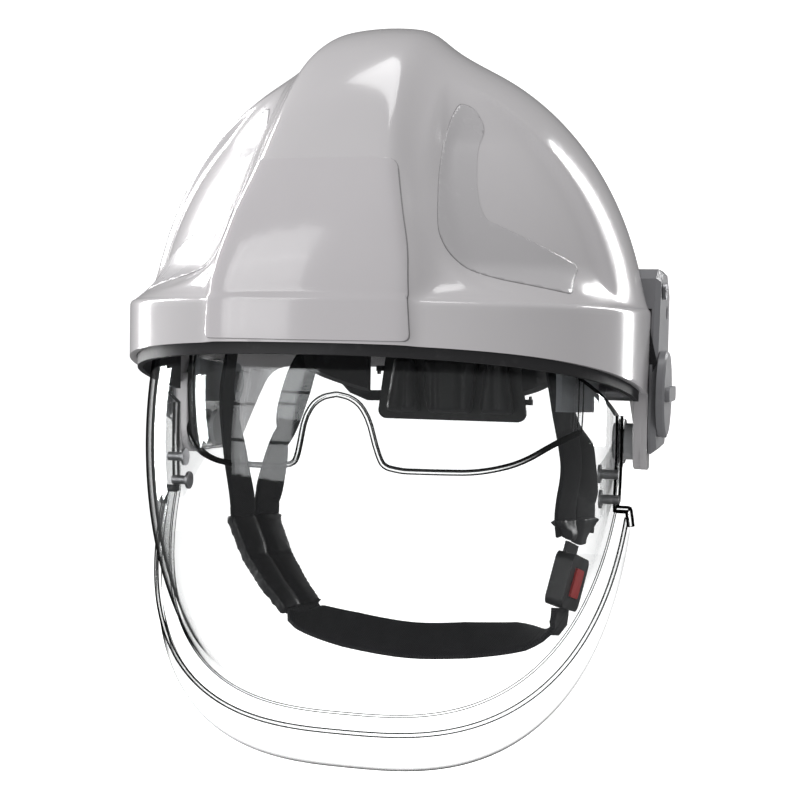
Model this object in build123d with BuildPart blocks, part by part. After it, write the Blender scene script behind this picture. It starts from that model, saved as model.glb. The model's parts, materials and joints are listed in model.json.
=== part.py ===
"""A jet style fire helmet with a face shield and an ocular visor that swing up under the shell.

Millimetres. +Z is up, the wearer looks along -Y and the wearer's left hand is at +X.
The origin is the middle of the head seat, on the level of the brim's lower edge.
"""

import math
import os

from build123d import *

os.makedirs("parts", exist_ok=True)

# Outer shell
dome_half_width = 121
dome_front = 141
dome_rear = 147
dome_height = 146
shell_wall = 3.2
brim_half_width = 122.5
brim_half_length = 151
brim_top = 22
brim_edge_radius = 2.5
oval_power_share = 2.3
oval_steps = 24
rim_front = 5
rim_temple = -6
rim_side = -19
rim_rear = -12
temple_y = -75
skirt_front = 3
skirt_rear = 66
skirt_bottom = -56
skirt_corner = 9
nape_rise = 26

# Raised crest and front panel: angle up from the front, then shares of reach, half width and flare
crest_reach = 156
crest_half_width = 44
crest_depth = 30
crest_flare = 32
crest_crown = 1.5
crest_stations_shares = (
    (-1, 0.966, 1.0, 0.35), (10, 0.978, 0.98, 0.35), (21, 0.974, 0.84, 0.4), (32, 0.974, 0.66, 0.55),
    (46, 0.982, 0.59, 0.75), (62, 0.998, 0.53, 1.0), (76, 1.006, 0.47, 1.0), (90, 1.0, 0.42, 1.0),
    (118, 0.975, 0.38, 1.0), (146, 0.94, 0.34, 1.0), (166, 0.88, 0.26, 1.0),
)
panel_low = 9
panel_high = 80
panel_thickness = 1.2
panel_edge = 3

# Reflective films in the scooped flanks: outline as shares of their width and height
film_thickness = 0.5
film_width = 71
film_height = 85
film_inner = -39
film_low = 26.5
film_turn_angle = 40
film_outline_shares = (
    (0.38, 1.0), (0.48, 0.967), (0.52, 0.855), (0.41, 0.72), (0.345, 0.56), (0.33, 0.45), (0.4, 0.347),
    (0.986, 0.16), (1.0, 0.13), (0.87, 0.0), (0.34, 0.065), (0.15, 0.11), (0.04, 0.19), (0.0, 0.28),
    (0.014, 0.37), (0.11, 0.65), (0.28, 0.906),
)

# Clearances
seat_gap = 0.3
running_gap = 0.05
sweep_gap = 1.5
overrun = 5
overrun_angle = 5
full_turn_angle = 360

# Face shield, a surface of revolution about its pivots
face_pivot_y = 20
face_pivot_z = -43
shield_reach = 158
shield_half_width = 113
shield_wall = 2.5
shield_power_share = 2.8
shield_top_angle = 20
shield_sweep_angle = 90
shield_rear = -20
shield_foot_y = 0
shield_foot_angle = -55.7
lip_reach = 155
lip_half_width = 118
lip_low_reach = 166
lip_low_half_width = 119.5
lip_drop_angle = 6.3
lip_ledge = 2.5
lip_root = 12
lip_end = 36
curve_steps = 16
bow_start_share = 0.02
face_pivot_radius = 6
face_hub_radius = 11
arm_thickness = 3
arm_neck = 8
arm_reach = 56
arm_angles = (20, -8, -36, -70)
rivet_radius = 2.2
rivet_angles = (-15, -31)
rivet_head = 1.2

# Ocular visor and the knobs that turn it
ocular_pivot_y = 18
ocular_pivot_z = -19
ocular_reach = 122
ocular_half_width = 100
ocular_wall = 2.4
ocular_top = 7
ocular_side_low = -29
ocular_low = -50
ocular_low_x = 28
ocular_rear = -36
ocular_top_angle = 45
ocular_sweep_angle = 90
nose_top = -19
nose_half_width = 16.5
spindle_radius = 4
spindle_flange_radius = 5.2
ocular_hub_radius = 10
ocular_arm_width = 14
ocular_arm_angles = (70, -80)
knob_radius = 21
knob_thickness = 4
knob_bead = 1
knob_grip_width = 7
knob_grip_height = 2.2

# Side modules outside the skirts
module_front = 8
module_rear = 62
module_top = 42
module_shoulder = 31
module_bottom = -48
module_face = 126.5
module_edge = 2.5
module_lamp_radius = 3.5
module_lamp_depth = 3
inset_face = 125.2
inset_high = 34
inset_low = -14
inset_front = -2
screw_radius = 2.4
screw_head_radius = 4
screw_head = 1.6
socket_sides = 6

# Impact liner and the head cavity
liner_front_low = 11
liner_rear_low = 2
liner_split = 18
liner_top_angle = 110
liner_sweep_angle = 130
cavity_half_width = 88
cavity_half_length = 107
cavity_height = 104
cavity_centre_y = 9

# Trim ring under the brim
seal_wall = 2.4
seal_top = 12
seal_drop = 4.5

# Headband, pads and cradle
band_half_width = 80
band_half_length = 95
band_wall = 1.8
band_low = 12
band_high = 34
brow_pad_wall = 5
brow_pad_rear = -48
cradle_wall = 1.4
cradle_width = 22
cradle_height = 97
cradle_turn_angle = 40
crown_pad_radius = 30
crown_pad_wall = 4
hanger_width = 14
hanger_height = 14
hanger_angles = (20, 55, 125, 160)

# Nape carrier, pads, toothed strips and adjuster
nape_y = 114
nape_wall = 3
nape_half_width = 44
nape_top = -2
nape_low = -41
nape_corner = 5
pad_depth = 9
pad_top = -5
pad_low = -37
pad_gap = 4
pad_corner = 3
pad_edge = 2.5
middle_top_half = 16.5
middle_low_half = 13
outer_top = 33
outer_low = 38
knob_centre_z = -21
knob_shaft_radius = 2.5
turner_radius = 17
turner_length = 11
turner_flutes = 18
flute_radius = 1.4
housing_half_width = 30
housing_half_height = 15
housing_depth = 9
housing_wall = 1.6
pinion_teeth = 8
pinion_pitch_radius = 6
pinion_width = 4
tooth_height = 2.4
tooth_clearance = 0.5
tooth_share = 0.34
tooth_tip_share = 0.2
strip_width = 6
strip_length = 62
strip_overlap = 16
arm_strip_wall = 2
nape_arm_points = {
    "nape_arm_right": ((-34, 115.3, -28), (-43.5, 115.3, -28), (-49, 111.5, -28), (-55, 98, -23.5),
                       (-61.1, 83.6, -12)),
    "nape_arm_left": ((34, 115.3, -14), (43.5, 115.3, -14), (49, 111.5, -14), (55, 98, -7.5),
                      (61.1, 83.6, -8)),
}
cover_wall = 2.4
cover_top = -8

# Chin strap: points along each strap and pad, and shares that give the direction of its width there
strap_points = {
    "strap_front_left": ((78.3, -24.3, 24), (78.3, -24.3, 8), (80.5, -23, -2), (84.5, -17, -25),
                         (88, -8.5, -52), (86, -7.4, -71), (85.5, -7.6, -79)),
    "strap_front_right": ((-78.3, -24.3, 24), (-78.3, -24.3, 8), (-81, -23, -2), (-85, -19, -25),
                          (-84.5, -8, -55), (-82.3, -3.3, -77), (-81.9, -3.1, -84.8)),
    "strap_rear_left": ((70.6, 71, -2.5), (75, 64, -16), (85, 34, -46), (91.5, 12, -67), (92.3, 9.2, -73),
                        (92.5, 8.7, -79)),
    "strap_rear_right": ((-70.6, 71, -2.5), (-74.5, 64, -16), (-75, 36, -48), (-74.6, 17, -73),
                         (-74.8, 13.6, -79), (-74.8, 13.2, -85.4)),
}
strap_side_shares = {
    "strap_front_left": ((0.22, 0.98, 0), (0.22, 0.98, 0), (0.3, 0.95, 0), (0.4, 0.9, 0), (0.4, 0.9, 0),
                         (0.4, 0.9, 0), (0.4, 0.9, 0)),
    "strap_front_right": ((-0.22, 0.98, 0), (-0.22, 0.98, 0), (-0.1, 0.98, 0), (0, 1, 0), (0.3, 0.95, 0),
                          (0.4, 0.92, 0), (0.4, 0.92, 0)),
    "strap_rear_left": ((-0.5, 0.86, 0), (-0.4, 0.86, 0.3), (0, 0.8, 0.6), (0.3, 0.9, 0.3), (0.4, 0.9, 0),
                        (0.4, 0.9, 0)),
    "strap_rear_right": ((0.5, 0.86, 0), (0.4, 0.86, 0.3), (0, 0.8, 0.6), (0.3, 0.9, 0.3), (0.4, 0.92, 0),
                         (0.4, 0.92, 0)),
}
right_cheek_points = ((-78.4, 5, -86), (-78.3, 4.8, -90), (-68, -3, -107), (-56, -12, -119),
                      (-43.5, -18.5, -129.5))
right_cheek_side_shares = ((0.4, 0.92, 0), (0.4, 0.92, 0), (0.3, 0.92, 0.2), (0.3, 0.95, 0.2), (0.2, 1, 0.3))
right_cheek_width_shares = (1.3, 1.25, 1.1, 1, 0.9)
left_cheek_points = ((89, 0.6, -79.6), (89.1, 0.45, -83.1))
left_cheek_side_shares = ((0.4, 0.9, 0), (0.4, 0.9, 0))
left_cheek_width_shares = (1.3, 1.25, 1, 0.9)
chin_points = ((-43.2, -18.65, -129.75), (-39.2, -20.7, -133.1), (-15, -28, -136.5), (15, -30, -139),
               (42, -26, -138), (67, -17.5, -136))
chin_side_shares = ((0.2, 1, 0.3), (0.15, 0.95, 0.4), (0, 0.8, 0.6), (0, 0.8, 0.6), (0, 0.8, 0.6),
                    (-0.1, 0.9, 0.4))
strap_width = 17
strap_wall = 2.2
cheek_width = 28
cheek_wall = 7
band_strap_width = 21
band_strap_wall = 3.2
anchor_size = 12
anchor_wall = 2.4
buckle_centre = (87, -6, -110)
buckle_length = 26
buckle_width = 27
buckle_wall = 9
buckle_corner = 4
buckle_along_shares = (5, 6, 24)
buckle_out_shares = (17, -5, -9)
tongue_reach = 5.4
tongue_hold = 12
tongue_width = 17
slot_floor = -3.6
slot_height = 2.4
window_floor = -0.4
button_length = 14
button_width = 12
button_height = 3
button_travel = 2.5


def radial_plane(pivot_y, pivot_z, angle):
    """Plane through an axis along X: its own y runs outwards, at an angle up from the front."""
    turn = math.radians(angle)
    return Plane(origin=(0, pivot_y, pivot_z), x_dir=(1, 0, 0), z_dir=(0, -math.sin(turn), -math.cos(turn)))


def oval_points(half_width, half_length, centre_y=0):
    """Points of a full oval, once round."""
    points = []
    for step in range(oval_steps):
        turn = 2 * math.pi * step / oval_steps
        side, ahead = math.sin(turn), -math.cos(turn)
        x = half_width * math.copysign(abs(side) ** (2 / oval_power_share), side)
        y = half_length * math.copysign(abs(ahead) ** (2 / oval_power_share), ahead)
        points.append((x, centre_y + y))
    return points


def oval_block(half_width, half_length, low, high, centre_y=0):
    """Upright block with an oval outline."""
    with BuildPart() as block:
        with BuildSketch(Plane.XY.offset(low)):
            with BuildLine():
                Spline(*oval_points(half_width, half_length, centre_y), periodic=True)
            make_face()
        extrude(amount=high - low)
    return block.part


def egg_half(half_width, length, height, side):
    """Upper front or rear half of an egg."""
    with BuildPart() as half:
        Sphere(1)
        scale(by=(half_width, length, height))
        split(bisect_by=Plane.XZ, keep=side)
        split(bisect_by=Plane.XY, keep=Keep.TOP)
    return half.part


def egg_block(half_width, front, rear, height, centre_y=0):
    """Upper half of an egg with its own length to the front and to the rear."""
    with BuildPart() as egg:
        with Locations((0, centre_y, 0)):
            add(egg_half(half_width, front, height, Keep.TOP))
            add(egg_half(half_width, rear, height, Keep.BOTTOM))
    return egg.part


def bow_points(half_width, reach, start):
    """Points across a visor, from the right to the left, at least start away from its axis."""
    limit = math.acos((start / reach) ** (shield_power_share / 2))
    points = []
    for step in range(curve_steps + 1):
        turn = limit * (2 * step / curve_steps - 1)
        x = half_width * math.copysign(abs(math.sin(turn)) ** (2 / shield_power_share), turn)
        points.append((x, reach * math.cos(turn) ** (2 / shield_power_share)))
    return points


def visor_block(pivot_y, pivot_z, half_width, reach, top_angle, sweep_angle):
    """Filled body that a visor's face sweeps out about its pivots."""
    curve = bow_points(half_width, reach, reach * bow_start_share)
    with BuildPart() as block:
        with BuildSketch(radial_plane(pivot_y, pivot_z, top_angle)):
            with BuildLine():
                Spline(*curve)
                Polyline(curve[-1], (curve[-1][0], 0), (curve[0][0], 0), curve[0])
            make_face()
        revolve(axis=Axis((0, pivot_y, pivot_z), (1, 0, 0)), revolution_arc=sweep_angle)
    return block.part


def side_block(points, near, far, corner=0):
    """Block between two distances from the middle, with an outline seen from the side."""
    with BuildPart() as block:
        with BuildSketch(Plane.YZ.offset(near)) as outline:
            with BuildLine():
                Polyline(*points, close=True)
            make_face()
            if corner:
                fillet(outline.vertices(), corner)
        extrude(amount=far - near)
    return block.part


def ribbon(places, width, wall):
    """Flat strap along points: each place is a point, the direction of its width and a width share."""
    points = [Vector(*place[0]) for place in places]
    with BuildPart() as strap:
        for index, (point, across, share) in enumerate(places):
            before, after = points[max(index - 1, 0)], points[min(index + 1, len(points) - 1)]
            along = (after - before).normalized()
            across = Vector(*across)
            across = (across - along * across.dot(along)).normalized()
            with BuildSketch(Plane(origin=points[index], x_dir=across, z_dir=along)):
                Rectangle(width * share, wall)
        loft(ruled=True)
    return strap.part


def stations(points, sides, shares=None):
    """Points with the direction of the width and its share, for a ribbon."""
    return list(zip(points, sides, shares or [1] * len(points)))


def mirrored(part):
    """The same piece on the other side."""
    with BuildPart() as other:
        add(part)
        mirror(about=Plane.YZ, mode=Mode.REPLACE)
    return other.part


def save(part, name):
    """Writes one piece."""
    part.label = name
    export_step(part, f"parts/{name}.step")


def save_pair(part, name):
    """Writes the wearer's left piece and its mirror image."""
    save(part, f"{name}_left")
    save(mirrored(part), f"{name}_right")


def crest_block(shrink):
    """Raised band that starts as the front panel, runs over the top and fades at the rear."""
    with BuildPart() as crest:
        for angle, reach_share, width_share, flare_share in crest_stations_shares:
            reach = crest_reach * reach_share - shrink
            half = crest_half_width * width_share - shrink
            foot = half + crest_flare * flare_share
            with BuildSketch(radial_plane(0, 0, angle)):
                with BuildLine():
                    Polyline((-half, reach - crest_crown), (-foot, reach - crest_depth),
                             (foot, reach - crest_depth), (half, reach - crest_crown))
                    ThreePointArc((half, reach - crest_crown), (0, reach), (-half, reach - crest_crown))
                make_face()
        loft()
    return crest.part


def rim_cutter(drop):
    """Everything below the shell's lower edge, seen from the side."""
    far = brim_half_length + overrun
    deep = skirt_bottom - 4 * overrun
    with BuildPart() as cutter:
        with BuildSketch(Plane.YZ.offset(-brim_half_width - overrun)):
            with BuildLine():
                Polyline((skirt_front, rim_side - drop), (skirt_front, skirt_bottom - drop),
                         (skirt_rear, skirt_bottom - drop), (skirt_rear + nape_rise, rim_rear - drop),
                         (far, rim_rear - drop), (far, deep), (-far, deep), (-far, rim_front - drop))
                ThreePointArc((-far, rim_front - drop), (temple_y, rim_temple - drop),
                              (skirt_front, rim_side - drop))
            make_face()
        extrude(amount=2 * (brim_half_width + overrun))
        skirt_corners = cutter.edges().filter_by(Axis.X).filter_by(
            lambda edge: abs(edge.center().Z - skirt_bottom + drop) < overrun and edge.center().Y > 0)
        fillet(skirt_corners, skirt_corner)
    return cutter.part


def outer_block():
    """The shell's outside, filled."""
    with BuildPart() as block:
        add(oval_block(brim_half_width, brim_half_length, skirt_bottom - overrun, brim_top))
        fillet(block.edges().group_by(Axis.Z)[-1], brim_edge_radius)
        add(egg_block(dome_half_width, dome_front, dome_rear, dome_height))
        add(crest_block(0))
    return block.part


def inner_block():
    """The shell's inside, filled."""
    with BuildPart() as block:
        add(oval_block(brim_half_width - shell_wall, brim_half_length - shell_wall,
                       skirt_bottom - 2 * overrun, brim_top - shell_wall))
        add(egg_block(dome_half_width - shell_wall, dome_front - shell_wall, dome_rear - shell_wall,
                      dome_height - shell_wall))
        add(crest_block(shell_wall))
    return block.part


def polar(pivot_y, pivot_z, reach, angle):
    """Point seen from the side, at an angle up from the front of a pivot."""
    turn = math.radians(angle)
    return (pivot_y - reach * math.cos(turn), pivot_z + reach * math.sin(turn))


def side_pin(y, z, near, far, radius):
    """Round bar along X."""
    with BuildPart() as pin:
        with BuildSketch(Plane.YZ.offset(near)):
            with Locations((y, z)):
                Circle(radius)
        extrude(amount=far - near)
    return pin.part


def below_shield():
    """Plane of the face shield's lower edge, facing down and to the rear."""
    return radial_plane(shield_foot_y, face_pivot_z, shield_foot_angle)


# Outer shell with the holes for the visors' pivots
skirt_inside = brim_half_width - shell_wall
pivot_holes = (
    (face_pivot_y, face_pivot_z, face_pivot_radius / 2 + running_gap),
    (ocular_pivot_y, ocular_pivot_z, spindle_radius + running_gap),
)
with BuildPart() as outer_shell:
    add(outer_block())
    add(inner_block(), mode=Mode.SUBTRACT)
    add(rim_cutter(0), mode=Mode.SUBTRACT)
    for hole_y, hole_z, hole_radius in pivot_holes:
        add(side_pin(hole_y, hole_z, -brim_half_width, brim_half_width, hole_radius), mode=Mode.SUBTRACT)
save(outer_shell.part, "outer_shell")

# Front panel, a plate over the face of the crest
with BuildPart() as panel_slab:
    with BuildSketch(Plane.XZ.offset(dome_front / 2)) as panel_outline:
        low_half = crest_half_width - panel_edge
        high_half = crest_half_width * crest_stations_shares[3][2] - panel_edge / 2
        with BuildLine():
            Polyline((-low_half, panel_low), (low_half, panel_low), (high_half, panel_high),
                     (-high_half, panel_high), close=True)
        make_face()
        fillet(panel_outline.vertices(), panel_edge)
    extrude(amount=dome_front)
with BuildPart() as front_panel:
    add(crest_block(-panel_thickness - seat_gap))
    add(crest_block(-seat_gap), mode=Mode.SUBTRACT)
    add(panel_slab.part, mode=Mode.INTERSECT)
save(front_panel.part, "front_panel")

# Reflective film on the wearer's left flank, and its mirror image
film_turn = math.radians(film_turn_angle)
film_plane = Plane(origin=(0, 0, 0), x_dir=(math.cos(film_turn), math.sin(film_turn), 0),
                   z_dir=(math.sin(film_turn), -math.cos(film_turn), 0))
with BuildPart() as film_slab:
    with BuildSketch(film_plane):
        with BuildLine():
            Polyline(*[(film_inner + film_width * across, film_low + film_height * up)
                       for across, up in film_outline_shares], close=True)
        make_face()
    extrude(amount=dome_rear)
with BuildPart() as film:
    reach = seat_gap + film_thickness
    add(egg_block(dome_half_width + reach, dome_front + reach, dome_rear + reach, dome_height + reach))
    add(egg_block(dome_half_width + seat_gap, dome_front + seat_gap, dome_rear + seat_gap,
                  dome_height + seat_gap), mode=Mode.SUBTRACT)
    add(film_slab.part, mode=Mode.INTERSECT)
save_pair(film.part, "film")

# Dark trim ring inside the brim
seal_half_width = skirt_inside - seat_gap
seal_half_length = brim_half_length - shell_wall - seat_gap
with BuildPart() as brim_seal:
    add(oval_block(seal_half_width, seal_half_length, skirt_bottom, seal_top))
    add(oval_block(seal_half_width - seal_wall, seal_half_length - seal_wall, skirt_bottom - overrun,
                   seal_top + overrun), mode=Mode.SUBTRACT)
    add(rim_cutter(seal_drop), mode=Mode.SUBTRACT)
    split(bisect_by=Plane.XZ.offset(seal_drop), keep=Keep.TOP)
save(brim_seal.part, "brim_seal")

# Face shield: swept face, ledge and lip, open at the rear where the arms carry it
lip_plane = below_shield()
with BuildPart() as lip_wall:
    for plane_angle, reach, half_width, start in (
            (shield_foot_angle, lip_reach, lip_half_width, lip_end),
            (shield_foot_angle - lip_drop_angle, lip_low_reach, lip_low_half_width, lip_end)):
        outer_bow = bow_points(half_width, reach, start)
        inner_bow = bow_points(half_width - shield_wall, reach - shield_wall, start)
        with BuildSketch(radial_plane(shield_foot_y, face_pivot_z, plane_angle)):
            with BuildLine():
                Spline(*outer_bow)
                Line(outer_bow[-1], inner_bow[-1])
                Spline(*inner_bow)
                Line(inner_bow[0], outer_bow[0])
            make_face()
    loft()
with BuildPart() as face_shield:
    add(visor_block(face_pivot_y, face_pivot_z, shield_half_width, shield_reach, shield_top_angle,
                    shield_sweep_angle))
    split(bisect_by=lip_plane, keep=Keep.BOTTOM)
    ledge_outer = bow_points(lip_half_width, lip_reach, lip_end)
    ledge_inner = bow_points(shield_half_width - lip_root, lip_reach - 2 * lip_root, lip_end)
    with BuildSketch(lip_plane):
        with BuildLine():
            Spline(*ledge_outer)
            Line(ledge_outer[-1], ledge_inner[-1])
            Spline(*ledge_inner)
            Line(ledge_inner[0], ledge_outer[0])
        make_face()
    extrude(amount=lip_ledge)
    add(lip_wall.part)
    add(visor_block(face_pivot_y, face_pivot_z, shield_half_width - shield_wall, shield_reach - shield_wall,
                    shield_top_angle + overrun_angle, 2 * shield_sweep_angle), mode=Mode.SUBTRACT)
    split(bisect_by=Plane.XZ.offset(-shield_rear), keep=Keep.TOP)

# Face shield arms, shaped to the inside of the shield, with a hub round the pivot
arm_half_width = shield_half_width - shield_wall - seat_gap
with BuildPart() as arm_outline:
    with BuildSketch(Plane.YZ):
        with Locations((face_pivot_y, face_pivot_z)):
            Circle(face_hub_radius)
        with BuildLine():
            Polyline(polar(face_pivot_y, face_pivot_z, face_hub_radius, arm_angles[0]),
                     polar(face_pivot_y, face_pivot_z, arm_reach, arm_angles[1]),
                     polar(face_pivot_y, face_pivot_z, arm_reach, arm_angles[2]),
                     polar(face_pivot_y, face_pivot_z, face_hub_radius, arm_angles[3]), close=True)
        make_face()
    extrude(amount=brim_half_width)
rivet_places = [polar(face_pivot_y, face_pivot_z, arm_reach - arm_neck, angle) for angle in rivet_angles]
with BuildPart() as shield_arm:
    add(visor_block(face_pivot_y, face_pivot_z, arm_half_width, shield_reach - shield_wall, 0,
                    full_turn_angle))
    add(visor_block(face_pivot_y, face_pivot_z, arm_half_width - arm_thickness,
                    shield_reach - shield_wall, 0, full_turn_angle), mode=Mode.SUBTRACT)
    add(arm_outline.part, mode=Mode.INTERSECT)
    add(side_pin(face_pivot_y, face_pivot_z, 0, brim_half_width, face_pivot_radius + running_gap),
        mode=Mode.SUBTRACT)
    for rivet_y, rivet_z in rivet_places:
        add(side_pin(rivet_y, rivet_z, 0, brim_half_width, rivet_radius + running_gap), mode=Mode.SUBTRACT)
save_pair(shield_arm.part, "shield_arm")

# Rivets that hold the shield to its arms
rivet_near = arm_half_width - arm_thickness - 3 * rivet_head
rivet_far = shield_half_width
with BuildPart() as rivets:
    for rivet_y, rivet_z in rivet_places:
        add(side_pin(rivet_y, rivet_z, rivet_near, rivet_far, rivet_radius))
        add(side_pin(rivet_y, rivet_z, rivet_near, rivet_near + rivet_head, 2 * rivet_radius))
    mirror(about=Plane.YZ)
save(rivets.part, "shield_rivets")
with BuildPart() as drilled_shield:
    add(face_shield.part)
    for rivet_y, rivet_z in rivet_places:
        add(side_pin(rivet_y, rivet_z, -brim_half_width, brim_half_width, rivet_radius + running_gap),
            mode=Mode.SUBTRACT)
save(drilled_shield.part, "face_shield")

# Face pivots: a flanged bush held in the skirt, and the cap that keeps the arm on it
bush_near = arm_half_width - arm_thickness - seat_gap
bush_flange = shield_half_width - shield_wall
with BuildPart() as face_pivot:
    add(side_pin(face_pivot_y, face_pivot_z, bush_near, bush_flange, face_pivot_radius))
    add(side_pin(face_pivot_y, face_pivot_z, bush_flange, brim_half_width, face_pivot_radius + arm_thickness))
    add(oval_block(skirt_inside - seat_gap, brim_half_length - shell_wall - seat_gap,
                   skirt_bottom - overrun, brim_top), mode=Mode.INTERSECT)
    add(side_pin(face_pivot_y, face_pivot_z, bush_flange, brim_half_width - shell_wall / 2,
                 face_pivot_radius / 2))
    add(side_pin(face_pivot_y, face_pivot_z, 0, bush_flange, rivet_radius + running_gap),
        mode=Mode.SUBTRACT)
with BuildPart() as pivot_cap:
    add(side_pin(face_pivot_y, face_pivot_z, bush_near - rivet_radius, bush_near,
                 face_pivot_radius + arm_thickness))
    add(side_pin(face_pivot_y, face_pivot_z, bush_near, bush_flange, rivet_radius))
save_pair(face_pivot.part, "face_pivot")
save_pair(pivot_cap.part, "pivot_cap")

# Ocular visor: clear lens, arms, spindles through the skirts and the outside knobs
ocular_pivot = (ocular_pivot_y, ocular_pivot_z)
with BuildPart() as lens_slab:
    with BuildSketch(Plane.XZ.offset(-ocular_rear)) as lens_outline:
        with BuildLine():
            Polyline((0, nose_top), (0, ocular_top), (ocular_half_width + overrun, ocular_top),
                     (ocular_half_width + overrun, ocular_side_low))
            Line((ocular_half_width + overrun, ocular_side_low), (2 * ocular_low_x, ocular_low))
            Line((2 * ocular_low_x, ocular_low), (ocular_low_x, ocular_low))
            Spline((ocular_low_x, ocular_low), (nose_half_width, (ocular_low + nose_top) / 2),
                   (0, nose_top), tangents=((-1, 0), (-1, 0)))
        make_face()
        mirror(about=Plane.YZ)
    extrude(amount=ocular_reach)
with BuildPart() as ocular_lens:
    add(visor_block(*ocular_pivot, ocular_half_width, ocular_reach, ocular_top_angle, ocular_sweep_angle))
    add(visor_block(*ocular_pivot, ocular_half_width - ocular_wall, ocular_reach - ocular_wall,
                    ocular_top_angle + overrun_angle, ocular_sweep_angle + 2 * overrun_angle),
        mode=Mode.SUBTRACT)
    add(lens_slab.part, mode=Mode.INTERSECT)
save(ocular_lens.part, "ocular_lens")

ocular_arm_half_width = ocular_half_width - ocular_wall - seat_gap
with BuildPart() as ocular_arm_outline:
    with BuildSketch(Plane.YZ):
        with Locations((ocular_pivot_y, ocular_pivot_z)):
            Circle(ocular_hub_radius)
        with BuildLine():
            Polyline(polar(*ocular_pivot, ocular_hub_radius, ocular_arm_angles[0]),
                     (ocular_rear - ocular_arm_width, ocular_pivot_z + ocular_arm_width),
                     (ocular_rear - ocular_arm_width, ocular_pivot_z - ocular_arm_width / 2),
                     polar(*ocular_pivot, ocular_hub_radius, ocular_arm_angles[1]), close=True)
        make_face()
    extrude(amount=brim_half_width)
with BuildPart() as ocular_arm:
    add(visor_block(*ocular_pivot, ocular_arm_half_width, ocular_reach - ocular_wall, 0, full_turn_angle))
    add(visor_block(*ocular_pivot, ocular_arm_half_width - arm_thickness, ocular_reach - ocular_wall, 0,
                    full_turn_angle), mode=Mode.SUBTRACT)
    add(ocular_arm_outline.part, mode=Mode.INTERSECT)
    add(side_pin(*ocular_pivot, 0, brim_half_width, spindle_radius + running_gap), mode=Mode.SUBTRACT)
save_pair(ocular_arm.part, "ocular_arm")

spindle_near = ocular_arm_half_width - arm_thickness - rivet_head - seat_gap
with BuildPart() as spindle:
    add(side_pin(*ocular_pivot, spindle_near, module_face + seat_gap, spindle_radius))
    add(side_pin(*ocular_pivot, spindle_near, spindle_near + rivet_head, spindle_flange_radius))
    add(side_pin(*ocular_pivot, ocular_half_width, ocular_half_width + rivet_head, spindle_flange_radius))
save_pair(spindle.part, "ocular_spindle")

with BuildPart() as knob:
    with BuildSketch(Plane.YZ.offset(module_face + seat_gap)):
        with Locations((ocular_pivot_y, ocular_pivot_z)):
            Circle(knob_radius)
    extrude(amount=knob_thickness)
    chamfer(knob.edges().group_by(Axis.X)[-1], knob_bead)
    with BuildSketch(Plane.YZ.offset(module_face + seat_gap + knob_thickness)):
        with Locations((ocular_pivot_y, ocular_pivot_z)):
            SlotOverall(2 * knob_radius - knob_grip_width, knob_grip_width)
    extrude(amount=knob_grip_height)
save_pair(knob.part, "ocular_knob")

# Side modules that cover the pivots outside the skirts
module_points = (
    (module_front + overrun, module_top - overrun), (module_front + 3 * overrun, module_top),
    (module_rear - 3 * overrun, module_top), (module_rear, module_shoulder),
    (module_rear, module_bottom + 2 * overrun), (module_rear - 2 * overrun, module_bottom),
    (module_front, module_bottom), (module_front - overrun, module_bottom + 2 * overrun),
    (module_front - overrun / 2, 0),
)


def shell_skin():
    """Outside of the shell's skirt and dome, grown by the seat gap."""
    with BuildPart() as skin:
        add(oval_block(brim_half_width + seat_gap, brim_half_length, skirt_bottom - overrun,
                       brim_top + seat_gap))
        add(egg_block(dome_half_width + seat_gap, dome_front, dome_rear, dome_height))
    return skin.part


skin = shell_skin()
with BuildPart() as side_module:
    add(side_block(module_points, dome_half_width - 3 * overrun, module_face))
    chamfer(side_module.faces().sort_by(Axis.X)[-1].edges(), module_edge)
    add(skin, mode=Mode.SUBTRACT)
    add(side_pin(*ocular_pivot, 0, module_face, spindle_radius + running_gap), mode=Mode.SUBTRACT)
    add(side_pin(module_rear - 3 * overrun, module_shoulder - 2 * overrun, module_face - module_lamp_depth,
                 module_face + overrun, module_lamp_radius), mode=Mode.SUBTRACT)
save_pair(side_module.part, "side_module")

# Black insets in front of the modules
inset_points = (
    (module_front + overrun - 3 * seat_gap, inset_high), (module_front - overrun / 2 - 2 * seat_gap, 0),
    (module_front - overrun + seat_gap, inset_low), (inset_front, -inset_low / 2),
)
with BuildPart() as module_inset:
    add(side_block(inset_points, dome_half_width - 3 * overrun, inset_face))
    add(skin, mode=Mode.SUBTRACT)
save_pair(module_inset.part, "module_inset")

# Screws of the side modules
screw_places = ((module_front + 3 * overrun, module_shoulder), (module_rear - 2 * overrun, ocular_pivot_z),
                (module_rear - 4 * overrun, module_bottom + 2 * overrun))
with BuildPart() as module_screws:
    for screw_y, screw_z in screw_places:
        add(side_pin(screw_y, screw_z, module_face + seat_gap, module_face + seat_gap + screw_head,
                     screw_head_radius))
        with BuildSketch(Plane.YZ.offset(module_face + seat_gap + screw_head)):
            with Locations((screw_y, screw_z)):
                RegularPolygon(screw_radius, socket_sides)
        extrude(amount=-screw_head / 2, mode=Mode.SUBTRACT)
    mirror(about=Plane.YZ)
save(module_screws.part, "module_screws")

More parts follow.
